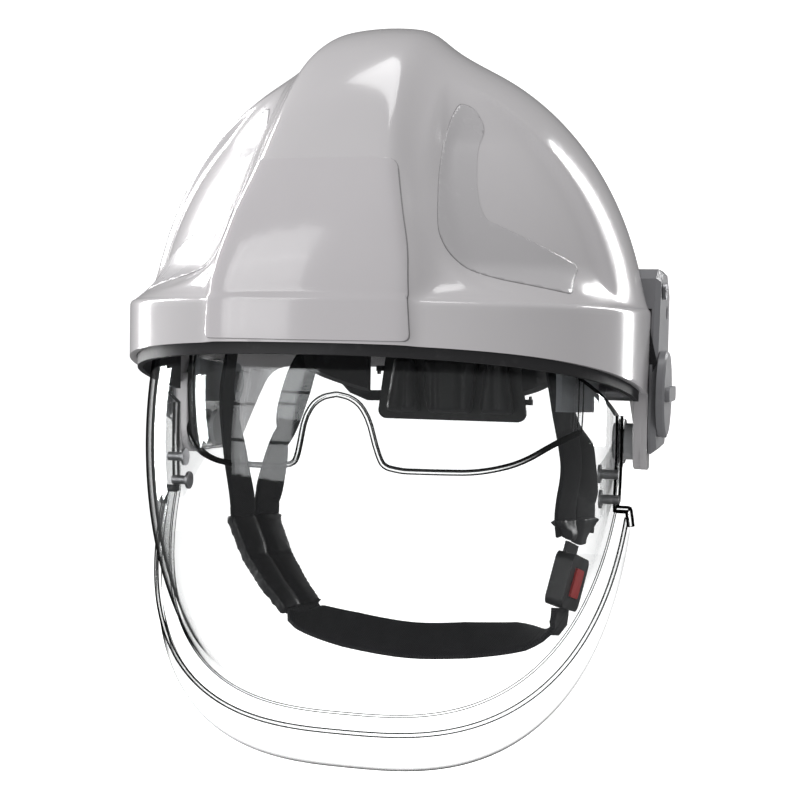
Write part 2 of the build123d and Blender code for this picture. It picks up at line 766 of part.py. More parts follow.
# Impact liner: a front piece between the two visors' sweeps and a rear piece that fills the shell
with BuildPart() as liner_front:
    add(visor_block(face_pivot_y, face_pivot_z, arm_half_width - arm_thickness - sweep_gap,
                    shield_reach - shield_wall - sweep_gap, liner_top_angle, liner_sweep_angle))
    add(visor_block(*ocular_pivot, ocular_half_width + sweep_gap, ocular_reach + sweep_gap,
                    liner_top_angle + 2 * overrun_angle, liner_sweep_angle + 4 * overrun_angle),
        mode=Mode.SUBTRACT)
    split(bisect_by=Plane.XZ.offset(-liner_split), keep=Keep.TOP)
    split(bisect_by=Plane.XY.offset(liner_front_low), keep=Keep.TOP)
save(liner_front.part, "liner_front")
liner_inset = shell_wall + seat_gap
with BuildPart() as liner_rear:
    add(egg_half(dome_half_width - liner_inset, dome_rear - liner_inset, dome_height - liner_inset,
                 Keep.BOTTOM))
    with Locations((0, cavity_centre_y, 0)):
        add(egg_half(cavity_half_width, cavity_half_length, cavity_height, Keep.BOTTOM), mode=Mode.SUBTRACT)
        add(egg_half(cavity_half_width, cavity_half_length, cavity_height, Keep.TOP), mode=Mode.SUBTRACT)
    split(bisect_by=Plane.XZ.offset(-liner_split - seat_gap), keep=Keep.BOTTOM)
    split(bisect_by=Plane.XY.offset(liner_rear_low), keep=Keep.TOP)
save(liner_rear.part, "liner_rear")


def ring(half_width, half_length, wall, low, high, centre_y=cavity_centre_y):
    """Oval band standing on edge."""
    with BuildPart() as band:
        add(oval_block(half_width, half_length, low, high, centre_y))
        add(oval_block(half_width - wall, half_length - wall, low - overrun, high + overrun, centre_y),
            mode=Mode.SUBTRACT)
    return band.part


# Headband with the brow pad on its inside
with BuildPart() as headband:
    add(ring(band_half_width, band_half_length, band_wall, band_low, band_high))
save(headband.part, "headband")
with BuildPart() as brow_pad:
    add(ring(band_half_width - band_wall - seat_gap, band_half_length - band_wall - seat_gap, brow_pad_wall,
             band_low, band_high))
    split(bisect_by=Plane.XZ.offset(-brow_pad_rear), keep=Keep.TOP)
save(brow_pad.part, "brow_pad")

# Textile cradle: crossed bands over the head, seated inside the headband and over the brow pad
with BuildPart() as brow_room:
    add(ring(band_half_width, band_half_length, band_wall + brow_pad_wall + 2 * seat_gap, 0,
             band_high + seat_gap))
    split(bisect_by=Plane.XZ.offset(-brow_pad_rear - seat_gap), keep=Keep.TOP)
with BuildPart() as cradle:
    cradle_half = band_half_width - band_wall - seat_gap
    cradle_length = band_half_length - band_wall - seat_gap
    add(egg_block(cradle_half, cradle_length, cradle_length, cradle_height, cavity_centre_y))
    add(egg_block(cradle_half - cradle_wall, cradle_length - cradle_wall, cradle_length - cradle_wall,
                  cradle_height - cradle_wall, cavity_centre_y), mode=Mode.SUBTRACT)
    with BuildSketch(Plane.XY.offset(band_low)):
        with Locations((0, cavity_centre_y)):
            Rectangle(cradle_width, 2 * brim_half_length, rotation=cradle_turn_angle)
            Rectangle(cradle_width, 2 * brim_half_length, rotation=-cradle_turn_angle)
            Rectangle(2 * brim_half_width, cradle_width)
    extrude(amount=dome_height, mode=Mode.INTERSECT)
    add(brow_room.part, mode=Mode.SUBTRACT)
save(cradle.part, "cradle_bands")
with BuildPart() as crown_pad:
    with Locations((0, cavity_centre_y, cradle_height - cradle_wall - seat_gap - crown_pad_wall)):
        Cylinder(crown_pad_radius, crown_pad_wall, align=(Align.CENTER, Align.CENTER, Align.MIN))
    add(egg_block(cradle_half - cradle_wall - seat_gap, cradle_length - cradle_wall - seat_gap,
                  cradle_length - cradle_wall - seat_gap, cradle_height - cradle_wall - seat_gap,
                  cavity_centre_y), mode=Mode.INTERSECT)
save(crown_pad.part, "crown_pad")

# Hangers between the headband and the liner
with BuildPart() as hangers:
    with BuildSketch(Plane.XY.offset(band_high - hanger_height)):
        for turn in hanger_angles:
            with Locations(Location((0, cavity_centre_y, 0), (0, 0, turn))):
                with Locations((brim_half_length / 2, 0)):
                    Rectangle(brim_half_length, hanger_width)
    extrude(amount=hanger_height)
    add(egg_block(cavity_half_width - seat_gap, cavity_half_length - seat_gap, cavity_half_length - seat_gap,
                  cavity_height, cavity_centre_y), mode=Mode.INTERSECT)
    add(oval_block(band_half_width + seat_gap, band_half_length + seat_gap, 0, dome_height, cavity_centre_y),
        mode=Mode.SUBTRACT)
save(hangers.part, "headband_hangers")

# Nape carrier, its three pads and the wings that reach up to the headband
with BuildPart() as carrier:
    with BuildSketch(Plane.XZ.offset(-nape_y)) as carrier_outline:
        with BuildLine():
            Polyline((-nape_half_width, nape_low), (nape_half_width, nape_low),
                     (nape_half_width - nape_corner, nape_top), (-nape_half_width + nape_corner, nape_top),
                     close=True)
        make_face()
        fillet(carrier_outline.vertices(), nape_corner)
    extrude(amount=nape_wall)
save(carrier.part, "nape_carrier")


def nape_pad(points):
    """Pad with bevelled edges on the head's side of the carrier."""
    with BuildPart() as pad:
        with BuildSketch(Plane.XZ.offset(seat_gap + nape_wall - nape_y)) as pad_outline:
            with BuildLine():
                Polyline(*points, close=True)
            make_face()
            fillet(pad_outline.vertices(), pad_corner)
        extrude(amount=pad_depth)
        chamfer(pad.faces().sort_by(Axis.Y)[0].edges(), pad_edge)
    return pad.part


save(nape_pad(((-middle_top_half, pad_top), (middle_top_half, pad_top), (middle_low_half, pad_low),
               (-middle_low_half, pad_low))), "nape_pad_middle")
save_pair(nape_pad(((middle_top_half + pad_gap, pad_top), (outer_top, pad_top), (outer_low, pad_low),
                    (middle_low_half + pad_gap, pad_low))), "nape_pad")
with BuildPart() as wing:
    add(ring(band_half_width, band_half_length + 2 * nape_wall, brow_pad_wall, nape_low, band_low - seat_gap))
    wing_points = ((nape_y / 2, band_low), (nape_y - pad_depth, band_low), (nape_y - nape_wall, nape_top),
                   (nape_y - pad_depth, pad_low + pad_depth), (nape_y / 2 + overrun, pad_low / 3))
    add(side_block(wing_points, nape_half_width + seat_gap, brim_half_width, pad_corner), mode=Mode.INTERSECT)
save_pair(wing.part, "nape_wing")

# Adjuster: housing behind the carrier, pinion, toothed strips and the turning knob
housing_near = nape_y + seat_gap
with BuildPart() as housing:
    with BuildSketch(Plane.XZ.offset(-housing_near - housing_depth)) as housing_outline:
        with Locations((0, knob_centre_z)):
            Rectangle(2 * housing_half_width, 2 * housing_half_height)
        fillet(housing_outline.vertices(), nape_corner)
    extrude(amount=housing_depth)
    with BuildSketch(Plane.XZ.offset(-housing_near - housing_depth + housing_wall)):
        with Locations((0, knob_centre_z)):
            Rectangle(2 * (housing_half_width + overrun), 2 * (housing_half_height - housing_wall - seat_gap))
    extrude(amount=housing_depth, mode=Mode.SUBTRACT)
    with BuildSketch(Plane.XZ.offset(-housing_near - housing_depth - overrun)):
        with Locations((0, knob_centre_z)):
            Circle(knob_shaft_radius + running_gap)
    extrude(amount=2 * housing_depth, mode=Mode.SUBTRACT)
save(housing.part, "ratchet_housing")
tooth_pitch = 2 * math.pi * pinion_pitch_radius / pinion_teeth
pinion_near = housing_near + seat_gap
strip_faces = pinion_pitch_radius + tooth_height / 2


def tooth_points(root, tip, centre=0):
    """One straight-sided tooth between two heights."""
    foot, crown = tooth_pitch * tooth_share / 2, tooth_pitch * tooth_tip_share / 2
    return ((centre - foot, root), (centre + foot, root), (centre + crown, tip), (centre - crown, tip))


with BuildPart() as pinion:
    with BuildSketch(Plane.XZ.offset(-pinion_near - pinion_width)):
        with Locations((0, knob_centre_z)):
            Circle(pinion_pitch_radius - tooth_height / 2)
            with PolarLocations(0, pinion_teeth):
                Polygon(*tooth_points(0, strip_faces - tooth_clearance), align=None)
            Circle(knob_shaft_radius + running_gap, mode=Mode.SUBTRACT)
    extrude(amount=pinion_width)
save(pinion.part, "ratchet_pinion")

# Toothed strips: the upper one runs to the wearer's right, the lower one to the left
upper_teeth = range(round((strip_overlap - strip_length) / tooth_pitch), round(strip_overlap / tooth_pitch))
for name, turn in (("strip_right", 0), ("strip_left", full_turn_angle / 2)):
    with BuildPart() as strip:
        with BuildSketch(Plane.XZ.offset(-pinion_near - pinion_width)):
            with Locations(Location((0, knob_centre_z, 0), (0, 0, turn))):
                with Locations((strip_overlap - strip_length / 2, strip_faces + strip_width / 4)):
                    Rectangle(strip_length, strip_width / 2)
                for step in upper_teeth:
                    Polygon(*tooth_points(strip_faces + tooth_clearance,
                                          strip_faces - tooth_height + tooth_clearance,
                                          tooth_pitch * (step + 1 / 2)), align=None)
        extrude(amount=pinion_width)
    save(strip.part, name)

# Plain strips that carry the nape carrier from the wings
for name, points in nape_arm_points.items():
    save(ribbon([(point, (0, 0, 1), 1) for point in points], strip_width, arm_strip_wall), name)

# Turning knob behind the housing, on its shaft
turner_far = housing_near + housing_depth + seat_gap + turner_length
with BuildPart() as turner:
    with BuildSketch(Plane.XZ.offset(-turner_far)):
        with Locations((0, knob_centre_z)):
            Circle(turner_radius)
            with PolarLocations(turner_radius, turner_flutes):
                Circle(flute_radius, mode=Mode.SUBTRACT)
    extrude(amount=turner_length)
    with BuildSketch(Plane.XZ.offset(-turner_far)):
        with Locations((0, knob_centre_z)):
            Circle(knob_shaft_radius)
    extrude(amount=turner_far - pinion_near)
save(turner.part, "ratchet_knob")

# Ear covers on the inside of the skirts, behind the shield's arms
cover_points = ((skirt_front + overrun, cover_top), (skirt_rear - overrun, cover_top),
                (skirt_rear - overrun, skirt_bottom + overrun), (skirt_front + overrun, skirt_bottom + overrun))
with BuildPart() as ear_cover:
    add(side_block(cover_points, dome_half_width / 2, brim_half_width, skirt_corner))
    add(oval_block(seal_half_width, seal_half_length, skirt_bottom - overrun, brim_top), mode=Mode.INTERSECT)
    add(oval_block(seal_half_width - cover_wall, seal_half_length - cover_wall, skirt_bottom - 2 * overrun,
                   brim_top + overrun), mode=Mode.SUBTRACT)
    add(side_pin(face_pivot_y, face_pivot_z, 0, brim_half_width, face_pivot_radius + arm_thickness + seat_gap),
        mode=Mode.SUBTRACT)
    add(side_pin(*ocular_pivot, 0, brim_half_width, spindle_radius + seat_gap), mode=Mode.SUBTRACT)
save_pair(ear_cover.part, "ear_cover")

# Chin strap's release buckle: its plane runs along the strap, from the chin up to the cheek
buckle_along = Vector(*buckle_along_shares).normalized()
buckle_out = Vector(*buckle_out_shares)
buckle_out = (buckle_out - buckle_along * buckle_out.dot(buckle_along)).normalized()
buckle_across = tuple(buckle_out.cross(buckle_along))


def buckle_plane(height):
    """Plane across the buckle's thickness, its own x towards the cheek pad."""
    return Plane(origin=Vector(*buckle_centre) + buckle_out * height, x_dir=buckle_along, z_dir=buckle_out)


def buckle_point(reach, height):
    """Point on the buckle's middle line."""
    return tuple(Vector(*buckle_centre) + buckle_along * reach + buckle_out * height)


slot_length = tongue_hold + tongue_reach
with BuildPart() as buckle:
    with BuildSketch(buckle_plane(-buckle_wall / 2)) as buckle_outline:
        Rectangle(buckle_length, buckle_width)
        fillet(buckle_outline.vertices(), buckle_corner)
    extrude(amount=buckle_wall)
    with BuildSketch(buckle_plane(window_floor)):
        Rectangle(button_length + 2 * seat_gap, button_width + 2 * seat_gap)
    extrude(amount=buckle_wall, mode=Mode.SUBTRACT)
    with BuildSketch(buckle_plane(slot_floor)):
        with Locations((buckle_length / 2 + tongue_reach - slot_length / 2, 0)):
            Rectangle(slot_length + 2 * seat_gap, tongue_width + 2 * seat_gap)
    extrude(amount=slot_height, mode=Mode.SUBTRACT)
save(buckle.part, "buckle_body")
with BuildPart() as tongue:
    with BuildSketch(buckle_plane(slot_floor + seat_gap)):
        with Locations((buckle_length / 2 + tongue_reach - slot_length / 2, 0)):
            Rectangle(slot_length, tongue_width)
    extrude(amount=slot_height - 2 * seat_gap)
save(tongue.part, "buckle_tongue")
with BuildPart() as button:
    with BuildSketch(buckle_plane(window_floor + button_travel + seat_gap)) as button_outline:
        Rectangle(button_length, button_width)
        fillet(button_outline.vertices(), button_height / 2)
    extrude(amount=button_height)
save(button.part, "buckle_button")

# Straps, sewn pads and the band under the chin
for name, points in strap_points.items():
    save(ribbon(stations(points, strap_side_shares[name]), strap_width, strap_wall), name)
slot_middle = slot_floor + slot_height / 2
cheek_end = buckle_length / 2 + tongue_reach + seat_gap
save(ribbon(stations(right_cheek_points, right_cheek_side_shares, right_cheek_width_shares), cheek_width,
            cheek_wall), "cheek_pad_right")
left_cheek_ends = (buckle_point(cheek_end + overrun, slot_middle), buckle_point(cheek_end, slot_middle))
save(ribbon(stations(left_cheek_points + left_cheek_ends, left_cheek_side_shares + 2 * (buckle_across,),
                     left_cheek_width_shares), cheek_width, cheek_wall), "cheek_pad_left")
chin_ends = (buckle_point(-buckle_length / 2 - 2 * overrun, 0), buckle_point(-buckle_length / 2 - seat_gap, 0))
save(ribbon(stations(chin_points + chin_ends, chin_side_shares + 2 * (buckle_across,)), band_strap_width,
            band_strap_wall), "chin_band")

# Plates that hold the front straps on the headband
anchor_x, anchor_y, anchor_top = strap_points["strap_front_left"][0]
side_x, side_y, side_z = strap_side_shares["strap_front_left"][0]
with BuildPart() as anchors:
    anchor_plane = Plane(origin=(anchor_x, anchor_y, 0), x_dir=(side_x, side_y, 0), z_dir=(side_y, -side_x, 0))
    with BuildSketch(anchor_plane.offset(strap_wall / 2 + seat_gap)):
        with Locations((0, (band_low + band_high) / 2 - anchor_wall)):
            Rectangle(anchor_size, anchor_size)
    extrude(amount=anchor_wall)
    mirror(about=Plane.YZ)
save(anchors.part, "strap_anchors")
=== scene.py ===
"""Looks of a jet style fire helmet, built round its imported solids.

The helmet faces -Y, its top is +Z and the wearer's left is +X. Shapes are worked out in millimetres.
"""
import json
import math

import bmesh
import bpy
from mathutils import Matrix, Vector


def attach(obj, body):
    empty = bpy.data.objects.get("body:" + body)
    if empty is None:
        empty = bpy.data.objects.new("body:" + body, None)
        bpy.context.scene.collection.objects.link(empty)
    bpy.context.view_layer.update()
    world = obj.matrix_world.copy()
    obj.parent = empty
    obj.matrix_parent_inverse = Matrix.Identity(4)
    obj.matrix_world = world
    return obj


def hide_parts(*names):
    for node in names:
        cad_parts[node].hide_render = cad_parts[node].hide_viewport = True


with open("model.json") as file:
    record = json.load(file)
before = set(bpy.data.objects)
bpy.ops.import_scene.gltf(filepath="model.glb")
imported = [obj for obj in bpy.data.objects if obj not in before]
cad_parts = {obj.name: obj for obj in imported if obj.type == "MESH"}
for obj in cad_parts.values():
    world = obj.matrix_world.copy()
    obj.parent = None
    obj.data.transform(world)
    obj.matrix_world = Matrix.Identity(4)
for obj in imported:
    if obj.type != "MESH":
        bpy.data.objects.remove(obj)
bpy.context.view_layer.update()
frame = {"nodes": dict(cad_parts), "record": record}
nodes = frame["nodes"]
MM = 0.001


# Shader maths and finishes

class Shade:
    """One shader socket. Arithmetic on it adds Math nodes."""

    def __init__(self, tree, socket):
        self.tree, self.socket = tree, socket

    def node(self, kind, settings=None, inputs=None, output=0):
        """Adds a node: its settings first, then the values or links of its sockets."""
        made = self.tree.nodes.new(kind)
        for name, value in (settings or {}).items():
            if name == "stops":
                ramp = made.color_ramp.elements
                while len(ramp) < len(value):
                    ramp.new(0.5)
                for element, (place, colour) in zip(ramp, value):
                    element.position, element.color = place, (*colour, 1)
            else:
                setattr(made, name, value)
        for name, value in (inputs or {}).items():
            if isinstance(value, Shade):
                self.tree.links.new(value.socket, made.inputs[name])
            else:
                made.inputs[name].default_value = value
        return Shade(self.tree, made.outputs[output])

    def maths(self, operation, other=0.0, flip=False):
        first, second = (other, self) if flip else (self, other)
        return self.node("ShaderNodeMath", {"operation": operation}, {0: first, 1: second})

    def __add__(self, other):
        return self.maths("ADD", other)

    def __radd__(self, other):
        return self.maths("ADD", other)

    def __sub__(self, other):
        return self.maths("SUBTRACT", other)

    def __rsub__(self, other):
        return self.maths("SUBTRACT", other, flip=True)

    def __mul__(self, other):
        return self.maths("MULTIPLY", other)

    def __rmul__(self, other):
        return self.maths("MULTIPLY", other)

    def __pow__(self, other):
        return self.maths("POWER", other)

    def __abs__(self):
        return self.maths("ABSOLUTE")

    def at_most(self, other):
        return self.maths("MINIMUM", other)

    def sine(self):
        return self.maths("SINE")

    def ramp(self, low, high):
        """0 below low, 1 above high, smooth between."""
        return self.node("ShaderNodeMapRange", {"interpolation_type": "SMOOTHSTEP"},
                         {"Value": self, "From Min": low, "From Max": high})

    def between(self, first, second):
        """Colour between two colours, by this value."""
        colours = [c if isinstance(c, Shade) else (*c, 1) for c in (first, second)]
        return self.node("ShaderNodeMix", {"data_type": "RGBA"}, {0: self, 6: colours[0], 7: colours[1]}, 2)


def finish_start(name):
    """An empty material, its node tree, a first value to build on, and its output."""
    material = bpy.data.materials.new(name)
    material.use_nodes = True
    tree = material.node_tree
    tree.nodes.clear()
    out = tree.nodes.new("ShaderNodeOutputMaterial")
    place = Shade(tree, tree.nodes.new("ShaderNodeTexCoord").outputs["Object"])
    return material, tree, place, out


def grain(place, scale, detail=3.0, rough=0.55):
    return place.node("ShaderNodeTexNoise", None,
                      {"Vector": place, "Scale": scale, "Detail": detail, "Roughness": rough})


def bumped(height, strength, distance):
    return height.node("ShaderNodeBump", None, {"Height": height, "Strength": strength, "Distance": distance})


def surface(tree, out, colour, roughness, normal=None, metallic=0.0, coat=0.0, coat_rough=0.05, sheen=0.0,
            level=0.5):
    """The shader of a solid finish."""
    shader = tree.nodes.new("ShaderNodeBsdfPrincipled")
    for name, value in (("Base Color", colour), ("Roughness", roughness), ("Normal", normal)):
        if isinstance(value, Shade):
            tree.links.new(value.socket, shader.inputs[name])
        elif value is not None:
            shader.inputs[name].default_value = (*value, 1) if name == "Base Color" else value
    for name, value in (("Metallic", metallic), ("Coat Weight", coat), ("Coat Roughness", coat_rough),
                        ("Sheen Weight", sheen), ("Specular IOR Level", level)):
        shader.inputs[name].default_value = value
    tree.links.new(shader.outputs[0], out.inputs[0])
    return shader


def moulded(name, colour, worn, roughness, grain_scale=900, grain_depth=0.00012, coat=0.0, level=0.5):
    """Moulded plastic: fine grain, cloudy roughness and paler rubbed patches."""
    material, tree, place, out = finish_start(name)
    cloud = grain(place, 38)
    rubbed = grain(place, 150, 5).ramp(0.55, 0.8)
    shine = roughness + (cloud - 0.5) * 0.16
    fine = grain(place, grain_scale, 2)
    surface(tree, out, (rubbed * 0.5).between(colour, worn), shine, bumped(fine, 0.35, grain_depth),
            coat=coat, level=level)
    return material


def painted(name, colour, shade_colour, roughness=0.2):
    """Glossy painted shell: faint waviness, soft dust and a clear coat."""
    material, tree, place, out = finish_start(name)
    cloud = grain(place, 14, 4)
    dust = grain(place, 260, 6, 0.7).ramp(0.58, 0.86)
    peel = grain(place, 620, 2)
    tone = (cloud.ramp(0.3, 0.75) * 0.35 + dust * 0.12)
    surface(tree, out, tone.between(colour, shade_colour), roughness + dust * 0.14,
            bumped(peel, 0.06, 0.00012), coat=0.35, coat_rough=0.06)
    return material


def woven(name, colour, thread, cell=0.0011, roughness=0.75):
    """Webbing: crossing threads from the piece's own length and width coordinates."""
    material, tree, place, out = finish_start(name)
    flat = place.node("ShaderNodeUVMap", {"uv_map": "weave"})
    split = place.node("ShaderNodeSeparateXYZ", None, {0: flat})
    along, across = split, Shade(tree, split.socket.node.outputs[1])
    turn = math.pi / cell
    first = ((along + across) * turn).sine()
    second = ((along - across) * turn).sine()
    weave = abs(first * second)
    lift = weave + grain(place, 1500, 2) * 0.35
    fuzz = grain(place, 90, 4).ramp(0.4, 0.8)
    surface(tree, out, (weave * 0.6 + fuzz * 0.25).between(colour, thread), roughness,
            bumped(lift, 0.6, 0.00022), sheen=0.06, level=0.22)
    return material


def knitted(name, colour, light, scale=1400, roughness=0.85, level=0.25):
    """Padded textile: small knit cells with lint."""
    material, tree, place, out = finish_start(name)
    cells = place.node("ShaderNodeTexVoronoi", None, {"Vector": place, "Scale": scale})
    lint = grain(place, 220, 5).ramp(0.5, 0.8)
    cloud = grain(place, 45, 3)
    lift = cells * 0.5 + cloud
    surface(tree, out, (lint * 0.2 + cells * 0.25).between(colour, light), roughness + (cloud - 0.5) * 0.2,
            bumped(lift, 0.25, 0.0001), sheen=0.04, level=level)
    return material


def brushed(name, colour, roughness=0.32):
    """Brushed metal."""
    material, tree, place, out = finish_start(name)
    stretched = place.node("ShaderNodeMapping", None, {"Vector": place, "Scale": (40, 1500, 1500)})
    lines = grain(stretched, 1, 3)
    surface(tree, out, (grain(place, 120) * 0.3).between(colour, (0.3, 0.3, 0.31)), roughness + lines * 0.2,
            bumped(lines, 0.2, 0.00005), metallic=1.0)
    return material


MIRROR_MOST, MIRROR_LOST_IN_DARK = 0.4, 0.8


def clear_sheet(name, dark_from, dark_to, gloss, darkest):
    """Clear moulded sheet: see-through and glossier towards where it is seen edge on, with painted darkness
    there that stands in for the dark surroundings refraction shows through a real sheet's edge.
    """
    material, tree, place, out = finish_start(name)
    facing = place.node("ShaderNodeLayerWeight", None, {"Blend": 0.5}, 1)
    fresnel = facing ** 5 * 0.96 + 0.04
    through = place.node("ShaderNodeBsdfTransparent", None, {"Color": (0.99, 0.993, 0.993, 1)})
    # edge_on and dark: painted darkness where the sheet is seen edge on; most of the mirror is taken away there
    # too
    edge_on = place.node("ShaderNodeBsdfTransparent", None, {"Color": (darkest, darkest, darkest, 1)})
    shine = place.node("ShaderNodeBsdfPrincipled", None,
                       {"Base Color": (0.9, 0.92, 0.93, 1), "Roughness": 0.03, "Metallic": 1.0})
    dark = facing.ramp(dark_from, dark_to)
    body = place.node("ShaderNodeMixShader", None, {0: dark, 1: through, 2: edge_on})
    mirror = (fresnel * gloss).at_most(MIRROR_MOST) * (1 - dark * MIRROR_LOST_IN_DARK)
    mixed = place.node("ShaderNodeMixShader", None, {0: mirror, 1: body, 2: shine})
    tree.links.new(mixed.socket, out.inputs[0])
    return material


shell_white = painted("shell_white", (0.72, 0.70, 0.715), (0.64, 0.62, 0.635), 0.16)
panel_white = painted("panel_white", (0.70, 0.675, 0.695), (0.62, 0.60, 0.615), 0.13)
film_grey = moulded("film_grey", (0.62, 0.605, 0.62), (0.68, 0.665, 0.68), 0.26, 1500, 0.00006, 0.2)
# Dark grey of the plates that paint the shade in the gaps round the front panel and the films
seam_grey = moulded("seam_grey", (0.3, 0.29, 0.3), (0.38, 0.37, 0.38), 0.5)
seal_black = moulded("seal_black", (0.035, 0.035, 0.038), (0.09, 0.09, 0.09), 0.55)
arm_grey = moulded("arm_grey", (0.30, 0.31, 0.33), (0.42, 0.43, 0.45), 0.42)
pivot_grey = moulded("pivot_grey", (0.48, 0.49, 0.5), (0.6, 0.6, 0.61), 0.4)
module_grey = moulded("module_grey", (0.27, 0.27, 0.285), (0.36, 0.36, 0.375), 0.34, 1100, 0.00012)
inset_black = moulded("inset_black", (0.012, 0.012, 0.014), (0.05, 0.05, 0.05), 0.22)
liner_foam = moulded("liner_foam", (0.05, 0.05, 0.054), (0.1, 0.1, 0.1), 0.8, 500, 0.0006)
band_black = moulded("band_black", (0.018, 0.018, 0.02), (0.05, 0.05, 0.055), 0.4, 900, 0.00006)
cover_black = moulded("cover_black", (0.03, 0.03, 0.033), (0.08, 0.08, 0.085), 0.25)
button_red = moulded("button_red", (0.55, 0.02, 0.02), (0.7, 0.12, 0.1), 0.35)
pin_steel = brushed("pin_steel", (0.62, 0.62, 0.64))
pad_textile = knitted("pad_textile", (0.016, 0.016, 0.018), (0.045, 0.045, 0.05), 1400, 0.42, 0.5)
cradle_textile = knitted("cradle_textile", (0.17, 0.13, 0.10), (0.3, 0.25, 0.2), 900)
webbing_black = woven("webbing_black", (0.010, 0.010, 0.012), (0.035, 0.035, 0.04))
# Painted darkness: shield_clear only at its outline, shield_edge on the sheets' cut rims, shield_rim on the
# beads over most of their width, and the rear beads' material nearly everywhere
shield_clear = clear_sheet("shield_clear", 0.8, 0.9, 1.0, 0.01)
shield_edge = clear_sheet("shield_edge", 0.05, 0.5, 0.8, 0.03)
shield_rim = clear_sheet("shield_rim", 0.06, 0.3, 0.6, 0.01)
shield_dark = clear_sheet("shield_dark", 0.0, 0.1, 0.8, 0.006)

FINISHES = {
    "shell_white": shell_white, "panel_white": panel_white, "film_grey": film_grey, "seal_black": seal_black,
    "shield_clear": shield_clear, "arm_grey": arm_grey, "pin_steel": pin_steel, "pivot_grey": pivot_grey,
    "module_grey": module_grey, "inset_black": inset_black, "liner_foam": liner_foam,
    "band_black": band_black, "pad_textile": pad_textile, "cradle_textile": cradle_textile,
    "webbing_black": webbing_black, "button_red": button_red, "cover_black": cover_black,
}
slot_of = {part["node"]: part["material_slot"] for part in frame["record"]["subparts"]}
for node_name, node in nodes.items():
    node.data.materials.clear()
    node.data.materials.append(FINISHES[slot_of[node_name]])


# Making pieces

def smooth_curve(table):
    """Function through a table of (place, value) pairs, without overshoot."""
    places = [row[0] for row in table]
    values = [row[1] for row in table]
    rises = [(values[i + 1] - values[i]) / (places[i + 1] - places[i]) for i in range(len(table) - 1)]
    slopes = [rises[0]]
    for before, after in zip(rises, rises[1:]):
        slopes.append(0 if before * after <= 0 else 2 * before * after / (before + after))
    slopes.append(rises[-1])

    def value_at(place):
        if place <= places[0]:
            return values[0]
        if place >= places[-1]:
            return values[-1]
        i = max(k for k in range(len(places) - 1) if places[k] <= place)
        width = places[i + 1] - places[i]
        t = (place - places[i]) / width
        return (values[i] * (1 + 2 * t) * (1 - t) ** 2 + slopes[i] * width * t * (1 - t) ** 2
                + values[i + 1] * t * t * (3 - 2 * t) - slopes[i + 1] * width * t * t * (1 - t))
    return value_at


def ease(value, low, high):
    """0 below low, 1 above high, smooth between."""
    t = min(max((value - low) / (high - low), 0), 1)
    return t * t * (3 - 2 * t)


MERGE_WITHIN = 0.001


def finish_piece(bm, name, body, materials, sharp=40, replaced=()):
    """Turns a bmesh in millimetres into a piece that rides on a body."""
    bmesh.ops.remove_doubles(bm, verts=bm.verts, dist=MERGE_WITHIN)
    bmesh.ops.scale(bm, verts=bm.verts, vec=(MM, MM, MM))
    for face in bm.faces:
        face.smooth = True
    for edge in bm.edges:
        if len(edge.link_faces) == 2 and edge.calc_face_angle(0) > math.radians(sharp):
            edge.smooth = False
    mesh = bpy.data.meshes.new(name)
    bm.to_mesh(mesh)
    bm.free()
    piece = bpy.data.objects.new(name, mesh)
    bpy.context.scene.collection.objects.link(piece)
    for material in materials:
        mesh.materials.append(material)
    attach(piece, body)
    if replaced:
        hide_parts(*replaced)
    return piece


def thicken(piece, thickness, bevel=0.0, segments=2, offset=-1.0, rim=0):
    """Gives a sheet its wall, in millimetres, and rounds its edges."""
    wall = piece.modifiers.new("wall", "SOLIDIFY")
    wall.thickness = thickness * MM
    wall.offset = offset
    wall.use_even_offset = False
    wall.material_offset_rim = rim
    if bevel:
        edge = piece.modifiers.new("edge", "BEVEL")
        edge.width = bevel * MM
        edge.segments = segments
        edge.limit_method = "ANGLE"
        edge.angle_limit = math.radians(50)
    return piece


def inside(outline, across, up):
    """Whether a point lies inside a closed outline."""
    found = False
    for (ax, ay), (bx, by) in zip(outline, outline[1:] + outline[:1]):
        if (ay > up) != (by > up) and across < (bx - ax) * (up - ay) / (by - ay) + ax:
            found = not found
    return found


SHORTEST_CUT, CUT_ROOM = 0.01, 3


def cut_to_outline(bm, outline, across, up, only=None):
    """Keeps what lies inside an outline in the plane of two directions, of all faces or only of some."""
    across, up = Vector(across), Vector(up)
    out_of_plane = across.cross(up)
    for (ax, ay), (bx, by) in zip(outline, outline[1:] + outline[:1]):
        start = across * ax + up * ay
        along = across * (bx - ax) + up * (by - ay)
        if along.length < SHORTEST_CUT:
            continue
        low_x, high_x = min(ax, bx) - CUT_ROOM, max(ax, bx) + CUT_ROOM
        low_y, high_y = min(ay, by) - CUT_ROOM, max(ay, by) + CUT_ROOM
        near = []
        for face in bm.faces:
            if only and not only(face.calc_center_median()):
                continue
            if any(low_x < v.co.dot(across) < high_x and low_y < v.co.dot(up) < high_y for v in face.verts):
                near.append(face)
        parts = dict.fromkeys(near)
        for face in near:
            parts.update(dict.fromkeys([*face.edges, *face.verts]))
        bmesh.ops.bisect_plane(bm, geom=list(parts), dist=0.0005, plane_co=start,
                               plane_no=along.cross(out_of_plane).normalized())
    gone = []
    for face in bm.faces:
        centre = face.calc_center_median()
        if only and not only(centre):
            continue
        if not inside(outline, centre.dot(across), centre.dot(up)):
            gone.append(face)
    bmesh.ops.delete(bm, geom=gone, context="FACES")


CORNER_SHARE = 0.45


